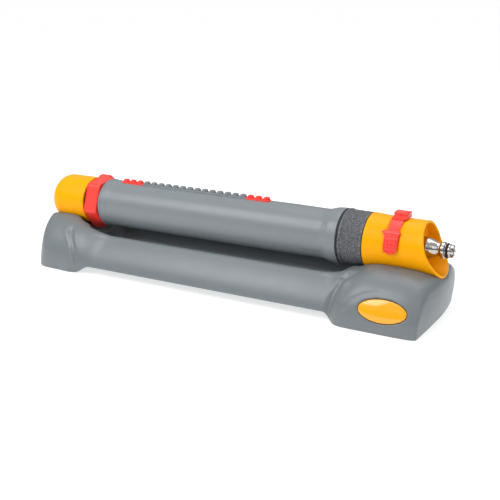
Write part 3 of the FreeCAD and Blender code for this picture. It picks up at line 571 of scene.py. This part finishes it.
VALLEY = [(33.5, 31.5, -16.0), (31.0, 34.0, -18.2), (29.6, 37.2, -20.6), (22.6, 42.5, -25.6), (14.2, 46.4, -33.8), (8.4, 52.7, -48.0), (5.8, 59.6, -63.2), (5.0, 60.5, -70.0)]
SWOOSH = [(24.0, 67.0, -57.5), (27.5, 66.5, -50.5), (32.0, 65.0, -44.5), (38.0, 63.0, -40.2), (47.0, 60.5, -37.0), (56.0, 58.5, -35.0), (66.0, 57.0, -33.6)]


FLUTE_Z = [-62.0, -45.0, -28.0]
FLUTE_X = [-318.5, -325.0, -337.0]


def dents(x, y, z):
    """Shallow moulded lines: where the rail runs into the pod, the sweep over the badge, the thumb flute on the left pod."""
    ay = np.abs(y)
    out = np.zeros(x.shape)
    m = (x > -14) & (x < 82) & (ay > 20) & (z < -4)
    if m.any():
        xm, ym, zm = x[m], ay[m], z[m]
        d, t = line_dist(xm, ym, zm, VALLEY)
        g = 2.5 * np.exp(-(d / 3.2) ** 2) * np.interp(t, [0, 0.12, 0.8, 1.0], [0.3, 1.0, 1.0, 0.4])
        d, t = line_dist(xm, ym, zm, SWOOSH)
        g = g + 1.5 * np.exp(-(d / 2.4) ** 2) * np.interp(t, [0, 0.15, 0.6, 1.0], [0.1, 1.0, 0.8, 0.0])
        out[m] = g
    m = (x > -348) & (x < -305) & (ay > 30)
    if m.any():
        xm, zm = x[m], z[m]
        w = np.interp(zm, [-64.0, -56.0, -42.0, -28.0, -22.0], [1.0, 2.4, 3.8, 5.0, 5.2])
        k = ss(-66.0, -57.0, zm) * (1 - ss(-30.0, -21.0, zm))
        q = np.abs(xm - np.interp(zm, FLUTE_Z, FLUTE_X)) / w
        out[m] = k * (1.25 * np.exp(-(q / 0.8) ** 2) - 0.5 * np.exp(-((q - 1.6) / 0.6) ** 2))
    return out


def ss(a, b, t):
    k = np.clip((t - a) / (b - a), 0, 1)
    return k * k * (3 - 2 * k)


def outer_skin(x, y, z):
    """Base without its ground plane."""
    pr = pod_r(x, y, z)
    pl = pod_l(x, y, z)
    ra = look(RAIL_GRID, y, z)
    ra = np.maximum(ra, np.maximum(x - 40.0, -350.0 - x))
    kr = np.interp(z, [-74.2, -64.0, -52.0, -41.0, -31.0], [3.0, 4.5, 9.0, 13.0, 23.0]) * np.clip((39.0 - x) / 20.0, 0.08, 1)
    h = np.clip(0.5 + 0.5 * (ra - pr) / kr, 0, 1)
    d = ra * (1 - h) + pr * h - kr * h * (1 - h)
    d = smin(d, pl, 15.0 * np.clip((x + 352.0) / 22.0, 0.06, 1)) + dents(x, y, z)
    return d, pr, pl, ra


def base_field(x, y, z):
    rho = np.sqrt(y ** 2 + z ** 2)
    skin, pr, pl, ra = outer_skin(x, y, z)
    # lower edge: pods reach the ground, rails stop short of it, with a swept step between
    lift = np.where(x > -110, np.clip((11.5 - x) / 12.0, 0, 1), np.clip((x + 323.0) / 20.0, 0, 1))
    lift = lift * lift * (3 - 2 * lift)
    bottom = (GROUND + 8.8 * lift) - z
    solid = smax(skin, bottom, 1.2)
    # openings above
    tr = look(TROUGH_GRID, y, z)
    tr = smax(tr, np.maximum(x - 12.0, -320.0 - x), 6.0)
    sr = np.where(x > -6.0, rev_cut(x, rho, SADDLE_R), rho - 37.6)
    sr = np.maximum(sr, -8.0 - x)
    sl = np.where(x < -290.0, rev_cut(x, rho, SADDLE_L), rho - 44.0)
    sl = np.maximum(sl, x + 291.0)
    mid = np.maximum(rho - 33.8, np.maximum(x - 15.0, -325.0 - x))
    cuts = smin(smin(tr, np.minimum(sr, sl), 2.5), mid, 1.5)
    solid = smax(solid, -cuts, 1.3)
    # hollow from below, a constant wall under skin and saddles
    hollow = np.maximum(skin + 3.0, 3.0 - cuts)
    # badge seat
    lx, ly, lz = badge_local(x, y, z)
    rr = np.sqrt((lx / 25.7) ** 2 + (lz / 12.2) ** 2)
    el = (rr - 1.0) * 12.2 * np.maximum(0.7, np.abs(lx) / 25.7 * 1.6 + 0.4)
    hollow = np.maximum(hollow, -np.maximum((rr - 1.22) * 12.0, np.abs(ly - 4.5) - 3.2))
    # screw seats
    for sx in (-362.0, 44.0, 78.0):
        rs = np.sqrt((x - sx) ** 2 + y ** 2)
        hollow = np.maximum(hollow, -np.maximum(rs - 8.0, -37.5 - z))
    solid = smax(solid, -hollow, 0.8)
    solid = smax(solid, -np.maximum(el, ly - 3.6), 0.7)
    for sx in (-362.0, 44.0, 78.0):
        rs = np.sqrt((x - sx) ** 2 + y ** 2)
        solid = np.maximum(solid, -np.maximum(rs - 4.4, -35.0 - z))
        solid = np.maximum(solid, -(rs - 2.2))
        solid = np.maximum(solid, -np.maximum(rs - 4.4, z + 37.5))
    return solid


quick = False
h_base = 1.3
bv, bq = field_mesh(base_field, (-392.5, -70.5, -74.4), (112.0, 70.5, -9.0), h_base, 3)
bv[:, 2] = np.maximum(bv[:, 2], GROUND)
base_ob = make("base_moulding", bv, bq, MAT["grey_shell"], "base", ("base_shell",))

# oval badge: a domed lens in its seat
bvs, bfs = [], []
nr_, nt_ = 14, 96
for i in range(nr_ + 1):
    s = i / nr_
    for j in range(nt_):
        a = 2 * math.pi * j / nt_
        bvs.append((25.0 * s * math.cos(a), -0.5 - 1.9 * (1 - s ** 2.4), 11.5 * s * math.sin(a)))
for s, dd in ((1.0, -0.3), (1.004, 0.1), (1.004, 3.4)):
    for j in range(nt_):
        a = 2 * math.pi * j / nt_
        bvs.append((25.0 * s * math.cos(a), dd, 11.5 * s * math.sin(a)))
rows = nr_ + 4
for i in range(1, rows - 1):
    for j in range(nt_):
        j2 = (j + 1) % nt_
        bfs.append((i * nt_ + j, (i + 1) * nt_ + j, (i + 1) * nt_ + j2, i * nt_ + j2))
for j in range(nt_):
    bfs.append((0, nt_ + j, nt_ + (j + 1) % nt_))
bfs.append(tuple((rows - 1) * nt_ + j for j in range(nt_)))
bp_ = np.array(bvs) @ BAD_R.T + BAD_C
keep = {0: 0}
remap, newv = {}, []
for i in range(len(bp_)):
    if 0 < i < nt_:
        remap[i] = 0
        continue
    remap[i] = len(newv)
    newv.append(bp_[i])
bfs = [tuple(remap[i] for i in f) for f in bfs]
lens_mat = finish_mat("amber_lens", srgb("#FFAB00"), 0.16, grain=420, bump=0.03, bump_mm=0.04, vary=0.02, rough_vary=0.04, wear=0.1, coat=0.5, coat_rough=0.08,
                      scratch=0.02, spec=0.5)
make("badge_lens", newv, bfs, lens_mat, "base", ("oval_badge",))

# ------------------------------------------------------------------ end cap
def dome(xe, depth, n, r, k):
    t = np.linspace(0, math.pi / 2, k)
    rr = r * np.cos(t) ** (2.0 / n)
    rr[-1] = 0.0
    return [(float(a), float(b)) for a, b in zip(xe + depth * (1 - np.sin(t) ** (2.0 / n)), rr)]


prof = fillet([(-350.0, 24.9), (-333.6, 24.9, 0.4), (-332.6, 25.4, 0.3), (-332.6, 27.9, 0.8), (-350.0, 27.9)]) + \
    dome(-388.4, 20.9, 2.43, 27.9, 40) + dome(-385.0, 18.9, 2.43, 24.9, 16)[::-1]
v, f = lathe(prof, 192)
v = np.array(v)
_k = ss(-366.0, -390.0, v[:, 0])
v[:, 0] += 0.045 * v[:, 2] * _k
make("end_cap_dome", v, f, MAT["orange_gloss"], "base", ())


def add_boss(sx):
    v, f = [], []
    n = 48
    rows_ = [(-34.9, 1.6), (-34.9, 4.0), (-34.6, 4.2), (-26.0, 4.2)]
    for zz_, r_ in rows_:
        for j in range(n):
            a = 2 * math.pi * j / n
            v.append((sx + r_ * math.cos(a), r_ * math.sin(a), zz_))
    for i in range(len(rows_) - 1):
        for j in range(n):
            f.append((i * n + j, (i + 1) * n + j, (i + 1) * n + (j + 1) % n, i * n + (j + 1) % n))
    f.append(tuple(range(n)))
    return v, f


v, f = add_boss(-362.0)
make("end_cap_boss", v, f, MAT["orange_gloss"], "base", ("end_cap",))

# ------------------------------------------------------------------ hexagonal width ring
HX0, HX1, HFLAT, HVERT, HTURN = -328.6, -310.6, 29.0, 32.6, 40.0


def hex_field(x, y, z):
    rho = np.sqrt(y * y + z * z)
    th = np.arctan2(z, y)
    d = np.full(y.shape, -1e9)
    for k in range(3):
        a = math.radians(HTURN + 60 * k)
        d = smax(d, np.abs(y * math.cos(a) + z * math.sin(a)) - HFLAT, 1.3) if k else np.abs(y * math.cos(a) + z * math.sin(a)) - HFLAT
    d = smax(d, rho - HVERT, 0.9)
    deg = np.degrees(th) % 360.0
    lean = 8.0 * np.exp(-((deg - 72.0) / 24.0) ** 2) + 7.0 * np.exp(-((deg - 250.0) / 24.0) ** 2)
    x0 = x
    x = x + lean * np.clip((rho - 28.2) / 1.6, 0, 1) * (0.45 + 0.55 * np.clip((x - HX0) / 18.0, 0, 1))
    xc, half = (HX0 + HX1) / 2, (HX1 - HX0) / 2
    shoulder = np.clip((np.abs(x - xc) - (half - 2.6)) / 1.0, 0, 1)
    d = d + 0.55 * shoulder * shoulder * (3 - 2 * shoulder)
    d = smax(d, np.abs(x - xc) - half, 1.1)
    bore = np.maximum(rho - 24.6, HX0 + 3.0 - x)
    d = smax(d, -bore, 0.5)
    d = smax(d, -np.maximum(rho - 28.5, x0 - HX0 + 0.6), 0.4)
    x = x0
    d = smax(d, -(rho - 8.0), 0.4)
    for k in range(6):
        a = math.radians(30 + 60 * k)
        d = np.maximum(d, -(np.sqrt((y - 16 * math.cos(a)) ** 2 + (z - 16 * math.sin(a)) ** 2) - 4.2))
    return d


v, q = field_mesh(hex_field, (HX0 - 9.0, -33.0, -33.0), (HX1, 33.0, 33.0), 0.5, 3)
make("width_ring_grip", v, q, MAT["red_plastic"], "width_control", ("width_ring",))

# ------------------------------------------------------------------ spray tube
tube_out = catmull([(-306.2, 27.9), (-300.5, 27.9)], 4).tolist() + \
    catmull([(-299.6, 27.75), (-298.2, 27.4), (-292.0, 27.2), (-250.0, 27.05), (-150.0, 27.0), (-70.0, 27.0), (-52.0, 26.9), (-38.0, 26.7),
             (-30.0, 26.6), (-24.0, 26.65), (-20.0, 27.1), (-16.5, 28.1), (-13.0, 29.2), (-9.0, 29.7), (-5.0, 30.0), (-3.2, 30.0)], 8).tolist()


def ss(a, b, t):
    k = np.clip((t - a) / (b - a), 0, 1)
    return k * k * (3 - 2 * k)


def tube_shape(x, r, th):
    if r < 26.0:
        return x, r
    deg = math.degrees(th) % 360
    px = float(ss(-44.5, -42.0, x) - ss(-18.0, -15.5, x))
    if px > 0:
        p = float(ss(146.0, 152.0, deg) - ss(206.0, 212.0, deg))
        r += 0.38 * px * p
    # two faint moulding flats that run the length of the tube
    for a0 in (52.0, 128.0):
        d = abs(deg - a0)
        if d < 9 and -296 < x < -70:
            r -= 0.10 * (1 - d / 9.0)
    return x, r


dense = []
for a, b in zip(tube_out, tube_out[1:]):
    n = max(1, int(abs(b[0] - a[0]) / (0.8 if -48 < a[0] < -12 else 4.0)))
    for k in range(n):
        t = k / n
        dense.append((a[0] + (b[0] - a[0]) * t, a[1] + (b[1] - a[1]) * t))
dense.append(tuple(tube_out[-1]))
edge = fillet([(-3.2, 30.0), (-2.0, 30.0, 0.7), (-2.0, 25.0)], 5)[1:]
left = fillet([(-325.0, 22.4), (-325.0, 24.2, 0.5), (-309.8, 24.2, 0.3), (-309.8, 28.5, 0.8), (-307.2, 28.5, 0.7), (-306.8, 27.9, 0.3), (-306.2, 27.9)], 5)[:-1]
prof = left + dense[1:] + edge + [(-2.0, 24.6), (-306.0, 24.6), (-306.0, 22.4)]
v, f = lathe(prof, 256, True, tube_shape)
make("spray_tube_skin", v, f, MAT["grey_tube"], "spray_tube", ("spray_tube",), sharp=50)


# ------------------------------------------------------------------ rubber jets
def jets(name, x0, x1, xs, rl, rr_, mat, node):
    half = 4.4

    def fn(x, y, z):
        xa = x0 + (half if rl else 0)
        xb = x1 - (half if rr_ else 0)
        dx = np.maximum(np.maximum(xa - x, x - xb), 0)
        plan = np.where((x < xa) & rl | (x > xb) & rr_, np.sqrt(dx ** 2 + y ** 2) - half,
                        np.maximum(np.abs(y) - half, np.maximum(x0 - x, x - x1)))
        body = smax(plan, np.abs(z - 25.5) - 2.45, 1.0)
        for jx in xs:
            rho = np.sqrt((x - jx) ** 2 + y ** 2)
            # flared rubber teat with a rolled lip
            rad = 3.95 - 0.55 * np.clip((z - 28.2) / 2.8, 0, 1)
            t = smax(rho - rad, z - 31.3, 1.9)
            t = np.maximum(t, 25.0 - z)
            body = smin(body, t, 1.1)
        for jx in xs:
            rho = np.sqrt((x - jx) ** 2 + y ** 2)
            hole = np.maximum(rho - 0.75, 24.0 - z)
            body = smax(body, -hole, 0.3)
            body = smax(body, -(np.sqrt(rho ** 2 + (z - 31.9) ** 2) - 1.5), 0.5)
        return body
    v, q = field_mesh(fn, (x0, -4.5, 23.0), (x1, 4.5, 31.4), 0.42, 2)
    make(name, v, q, MAT[mat], "spray_tube", (node,))


JL = [-286.0, -276.0, -266.0]
JM = [-256.0 + 10.0 * k for k in range(14)]
JR = [-116.5, -106.5, -96.5]
jets("left_red_jets", -292.5, -261.0, JL, True, False, "red_rubber", "left_end_jets")
jets("grey_jets", -261.0, -121.5, JM, False, False, "grey_rubber", "jet_strip")
jets("right_red_jets", -121.5, -91.5, JR, False, True, "red_rubber", "right_end_jets")

# ------------------------------------------------------------------ dotted grip ring
GX0, GX1 = 0.5, 26.6
n_dot, pitch_x = 116, 1.5


def grip_shape(x, r, th):
    if r > 28.0 and 4.6 < x < 23.4:
        row = (x - 4.6) / pitch_x
        a = th / (2 * math.pi) * n_dot + 0.5 * (int(row) % 2)
        fx = math.sin(math.pi * (row - int(row))) ** 2
        fa = math.cos(math.pi * (a - round(a))) ** 4
        r += 0.75 * fx * fa - 0.22
    return x, r


gp = fillet([(0.5, 25.55), (0.5, 30.1, 0.6), (3.0, 30.25, 0.7), (4.0, 29.1, 0.4)], 5)
k = 0
xg = np.arange(4.6, 23.5, pitch_x / 5.0)
gp += [(float(a), 29.1 - 0.3 * (a - 4.6) / 19.0) for a in xg]
gp += fillet([(23.5, 28.75), (24.0, 29.2, 0.4), (26.6, 29.2, 0.8), (26.6, 25.55)], 5)
v, f = lathe(gp, n_dot * 5, True, grip_shape)
make("grip_ring_dotted", v, f, MAT["dark_grip"], "flow_control", ("grip_ring",), sharp=55)

# ------------------------------------------------------------------ motor housing with scoop
HO_X = np.array([27.4, 30.5, 38, 48, 60, 85, 108, 118])
HO_R = np.array([29.35, 29.3, 28.8, 28.25, 27.95, 27.8, 28.15, 28.3])
RIM_Z = np.array([-34.0, -28.2, -25.5, -19.5, -8.6, 3.2, 13.5, 20.5, 27.5, 36.0])
RIM_X = np.array([108.2, 107.9, 107.4, 104.2, 98.4, 93.2, 90.4, 88.7, 87.1, 86.4])
_zd = np.arange(-34, 36, 0.2)
_xd = np.interp(_zd, RIM_Z, RIM_X)
_ker = np.ones(21) / 21
_xd = np.convolve(np.pad(_xd, 10, mode="edge"), _ker, mode="valid")


def rim_x(z):
    return np.interp(z, _zd, _xd)


def housing_outer(x, th):
    r = float(np.interp(x, HO_X, HO_R))
    deg = (math.degrees(th) + 30) % 360 - 30
    w = float(ss(50.0, 50.6, x) - ss(65.6, 66.2, x))
    a = float(ss(-9.5, -8.0, deg) - ss(186.8, 188.3, deg))
    if w > 0 and a > 0:
        r -= (r - 27.2) * w * a
    return r


nth = 288
ths = np.linspace(0, 2 * math.pi, nth, endpoint=False)
us = np.unique(np.concatenate([np.linspace(0, 1, 60)]))
cols_v, faces = [], []
xa0, groove0, groove1 = 28.1, 49.4, 67.0
outer_x = np.concatenate([np.linspace(28.1, 49.4, 12), np.linspace(50.0, 50.6, 5), np.linspace(51.5, 65.0, 6), np.linspace(65.6, 66.2, 5),
                          np.linspace(67.0, 80.0, 6)])
n_tail = 16
lead = [(27.4, 25.4), (27.4, 28.5), (27.5, 28.95), (27.75, 29.25)]
rows_h = len(lead) + len(outer_x) + n_tail + 6 + 12 + 1
hv = []
for th in ths:
    col = []
    for x, r in lead:
        col.append((x, r))
    for x in outer_x:
        col.append((x, housing_outer(x, th)))
    xr = float(rim_x(28.0 * math.sin(th)))
    ro = float(np.interp(xr, HO_X, HO_R))
    flare = 0.35
    for k in range(1, n_tail + 1):
        t = k / n_tail
        x = 80.0 + (xr - 0.9 - 80.0) * t
        col.append((x, float(np.interp(x, HO_X, HO_R)) + flare * t ** 4))
    ro = ro + flare
    ri = 25.6
    wall = ro - ri
    for k in range(6):
        a = math.pi * (k + 0.5) / 6
        col.append((xr - 0.9 + 0.9 * math.sin(a), ri + wall / 2 + wall / 2 * math.cos(a)))
    for k in range(12):
        t = k / 11.0
        col.append((xr - 0.9 + (79.6 - xr + 0.9) * t, ri - 0.1 * t))
    col.append((79.0, 24.9))
    for x, r in col:
        hv.append((x, r * math.cos(th), r * math.sin(th)))
nc = len(col)
for j in range(nth):
    j2 = (j + 1) % nth
    for i in range(nc - 1):
        faces.append((j * nc + i, j * nc + i + 1, j2 * nc + i + 1, j2 * nc + i))
base_n = len(hv)
for r in (19.0, 12.6):
    for th in ths:
        hv.append((79.0, r * math.cos(th), r * math.sin(th)))
for j in range(nth):
    j2 = (j + 1) % nth
    faces.append((j * nc + nc - 1, base_n + j, base_n + j2, j2 * nc + nc - 1))
    faces.append((base_n + j, base_n + nth + j, base_n + nth + j2, base_n + j2))
make("housing_scoop", hv, faces, MAT["orange_gloss"], "base", (), sharp=48)
for i, sx in enumerate((44.0, 78.0)):
    v, f = add_boss(sx)
    make("housing_boss_%d" % i, v, f, MAT["orange_gloss"], "base", ("motor_housing",) if i == 0 else ())


# ------------------------------------------------------------------ range sliders, modelled unrolled and wrapped round the housing
def wrap(v, r0):
    """(x, arc length at r0, height) -> cylinder; arc grows with the angle from +Y towards +Z."""
    a = v[:, 1] / r0
    return np.column_stack([v[:, 0], v[:, 2] * np.cos(a), v[:, 2] * np.sin(a)])


R0 = 29.5
arc_ = lambda deg: math.radians(deg) * R0


def front_slider(x, s, r):
    top = arc_(141.0)
    bot = arc_(187.0)
    padc = (58.0, (arc_(146.0) + bot) / 2, 29.75)
    d = rbox(x, s, r, padc, (7.5, (bot - arc_(146.0)) / 2, 0.85), 0.6)
    # rounded lower end
    cx, cs, rad = 58.0, bot - 7.5, 7.5
    plan = np.where(s > cs, np.sqrt((x - cx) ** 2 + (s - cs) ** 2) - rad, np.abs(x - cx) - rad)
    d = smax(d, plan, 0.7)
    step = rbox(x, s, r, (57.9, arc_(144.0), 29.95), (8.7, arc_(147.0) / 2 - arc_(141.0) / 2, 1.05), 0.6)
    d = smin(d, step, 0.7)
    # raised frame of the pad
    inner = np.where(s > cs, np.sqrt((x - cx) ** 2 + (s - cs) ** 2) - 6.2, np.abs(x - cx) - 6.2)
    pocket = np.maximum(np.maximum(inner, arc_(148.5) - s), 30.25 - r)
    d = smax(d, -pocket, 0.5)
    for row in range(5):
        a = arc_(151.6 + row * 6.9)
        for c in range(3):
            rib = rbox(x, s, r, (54.1 + 3.9 * c, a, 30.35), (1.35, 0.75, 0.75), 0.6)
            d = smin(d, rib, 0.45)
    # pointer towards the scale
    pz = np.abs(s - arc_(144.0))
    tri = np.maximum((49.4 - x) * 0.75 + pz - 2.3, x - 50.5)
    tri = smax(tri, np.abs(r - 29.7) - 0.8, 0.4)
    d = smin(d, tri, 0.4)
    # skirts that run in the groove
    for xx in (50.95, 65.05):
        sk = rbox(x, s, r, (xx, (arc_(144.0) + arc_(170.0)) / 2, 28.4), (0.4, (arc_(170.0) - arc_(144.0)) / 2, 0.9), 0.2)
        d = np.minimum(d, sk)
    return d


v, q = field_mesh(front_slider, (46.4, arc_(140.0), 27.4), (66.8, arc_(188.0), 31.4), 0.3, 2)
make("front_slider_pad", wrap(v, R0), q, MAT["red_plastic"], "front_range", ("front_range_slider",))


def rear_slider(x, s, r):
    band = rbox(x, s, r, (58.0, (arc_(78.0) + arc_(150.0)) / 2, 28.05), (6.3, (arc_(150.0) - arc_(78.0)) / 2, 0.55), 0.35)
    foot = rbox(x, s, r, (59.3, (arc_(76.0) + arc_(106.0)) / 2, 29.5), (7.75, (arc_(106.0) - arc_(76.0)) / 2, 1.0), 0.8)
    tab = rbox(x, s, r, (59.5, (arc_(76.5) + arc_(99.0)) / 2, 31.8), (7.6, (arc_(99.0) - arc_(76.5)) / 2, 3.1), 1.3)
    d = smin(smin(band, foot, 0.6), tab, 1.4)
    # gripping grooves across the tab
    for a in (79.5, 83.5, 87.5, 91.5, 95.5):
        g = np.sqrt((s - arc_(a)) ** 2 + (r - 35.2) ** 2) - 0.75
        g = np.maximum(g, np.abs(x - 59.5) - 5.6)
        d = smax(d, -g, 0.35)
    d = smin(d, rbox(x, s, r, (58.0, arc_(113.5), 28.25), (6.3, arc_(7.5) - arc_(0.0), 0.42), 0.35), 0.3)
    return d


v, q = field_mesh(rear_slider, (50.2, arc_(75.5), 27.4), (67.4, arc_(151.0), 35.0), 0.34, 2)
make("rear_slider_tab", wrap(v, R0), q, MAT["red_plastic"], "rear_range", ("rear_range_slider",))

# ------------------------------------------------------------------ inlet tail
nip = fillet([(71.0, 4.2), (71.0, 8.0), (80.4, 8.0, 0.1), (80.4, 11.4, 0.5), (88.4, 11.4, 0.6), (89.6, 10.9, 0.5), (92.0, 10.2, 1.2),
              (94.6, 9.2, 1.6), (96.8, 8.2, 1.5), (98.6, 7.4, 1.2), (100.4, 7.0, 0.7), (101.6, 7.2, 0.5),
              (103.0, 8.5, 0.4), (105.9, 8.5, 0.5), (106.5, 7.35, 0.3), (107.0, 7.3, 0.15), (107.0, 6.2, 0.1), (110.0, 6.2, 0.1),
              (110.0, 7.3, 0.15), (111.2, 7.3, 0.4), (112.0, 6.5, 0.4), (114.9, 6.5, 0.5), (115.0, 4.5, 0.3), (112.6, 4.1), (100.0, 4.1), (80.0, 4.1)], 4)


def nip_shape(x, r, th):
    deg = math.degrees(th)
    if 80.2 < x < 89.0 and r > 10.4:
        phi = math.radians(((deg + 30) % 60) - 30)
        r = min(r, (10.6 + 0.9 * float(ss(87.2, 89.0, x))) / math.cos(phi))
    if x > 113.0 and r > 4.4:
        off = math.radians(((deg - 30) % 60) - (60 if ((deg - 30) % 60) > 30 else 0))
        if abs(off) * 6.0 < 1.15:
            x = min(x, 113.2)
            r = min(r, 6.45)
    return x, r


dn = []
for a, b in zip(nip, nip[1:]):
    n = max(1, int(math.hypot(b[0] - a[0], b[1] - a[1]) / 0.6))
    for k in range(n):
        dn.append((a[0] + (b[0] - a[0]) * k / n, a[1] + (b[1] - a[1]) * k / n))
dn.append(nip[-1])
v, f = lathe(dn, 240, True, nip_shape)
make("inlet_tail", v, f, MAT["chrome"], "base", ("inlet_nipple",), sharp=40)
ring_prof = [(108.5 + 0.98 * math.cos(a), 7.12 + 0.86 * math.sin(a)) for a in np.linspace(0, 2 * math.pi, 24, endpoint=False)]
v, f = lathe(ring_prof, 128)
make("inlet_seal_ring", v, f, MAT["black_rubber"], "base", ("inlet_o_ring",))

# ------------------------------------------------------------------ floor, light, camera
fm = bpy.data.materials.new("studio_floor")
fm.use_nodes = True
fb = fm.node_tree.nodes["Principled BSDF"]
fb.inputs["Roughness"].default_value = 0.9
fb.inputs["Specular IOR Level"].default_value = 0.1
fb.inputs["Base Color"].default_value = (0.55, 0.55, 0.55, 1)
fb.inputs["Emission Color"].default_value = (1.0, 1.0, 1.0, 1)
fb.inputs["Emission Strength"].default_value = 0.68
me = bpy.data.meshes.new("floor")
me.from_pydata([(-40, -40, 0), (40, -40, 0), (40, 60, 0), (-40, 60, 0)], [], [(0, 1, 2, 3)])
floor = bpy.data.objects.new("floor", me)
bpy.context.scene.collection.objects.link(floor)
me.materials.append(fm)
floor.location.z = -0.0002

scene = bpy.context.scene
world = bpy.data.worlds.new("studio")
scene.world = world
world.use_nodes = True
wn = world.node_tree
bg = wn.nodes["Background"]
tc = wn.nodes.new("ShaderNodeTexCoord")
sx = wn.nodes.new("ShaderNodeSeparateXYZ")
cr = wn.nodes.new("ShaderNodeValToRGB")
wn.links.new(tc.outputs["Generated"], sx.inputs[0])
wn.links.new(sx.outputs["Z"], cr.inputs[0])
wn.links.new(cr.outputs[0], bg.inputs["Color"])
cr.color_ramp.elements[0].position = 0.0
cr.color_ramp.elements[0].color = (0.34, 0.34, 0.35, 1)
cr.color_ramp.elements[1].position = 1.0
cr.color_ramp.elements[1].color = (1.0, 1.0, 1.0, 1)
e = cr.color_ramp.elements.new(0.12)
e.color = (0.26, 0.26, 0.27, 1)
e = cr.color_ramp.elements.new(0.45)
e.color = (0.95, 0.95, 0.96, 1)
bg.inputs["Strength"].default_value = 0.62


def area(name, loc, target, size, power, size_y=None):
    ld = bpy.data.lights.new(name, "AREA")
    ld.shape = "RECTANGLE"
    ld.size = size
    ld.size_y = size_y or size
    ld.energy = power
    lo = bpy.data.objects.new(name, ld)
    scene.collection.objects.link(lo)
    lo.location = loc
    lo.rotation_mode = "QUATERNION"
    lo.rotation_quaternion = (Vector(target) - Vector(loc)).to_track_quat("-Z", "Y")
    return lo


area("key", (-0.62, -0.95, 1.15), (-0.03, 0, 0.03), 0.9, 12.6)
area("fill", (1.3, -0.9, 0.8), (0.05, 0, 0.05), 0.9, 2.4)
area("top", (0.1, 0.35, 1.5), (0, 0, 0.05), 1.2, 9.5)

cam_d = bpy.data.cameras.new("camera")
cam = bpy.data.objects.new("camera", cam_d)
scene.collection.objects.link(cam)
scene.camera = cam
az, el, dist, focal = math.radians(29.09), math.radians(16.95), 1.0, 887.0
back = Vector((math.sin(az) * math.cos(el), -math.cos(az) * math.cos(el), math.sin(el)))
target = Vector((SHIFT_X - 0.1176, 0.0, AXIS_H - 0.0326))
cam.location = target + back * dist
cam.rotation_mode = "QUATERNION"
cam.rotation_quaternion = (-back).to_track_quat("-Z", "Y")
cam_d.sensor_width = 36.0
cam_d.lens = focal / 500.0 * 36.0
cam_d.clip_start, cam_d.clip_end = 0.01, 200.0
scene.view_settings.view_transform = "Standard"
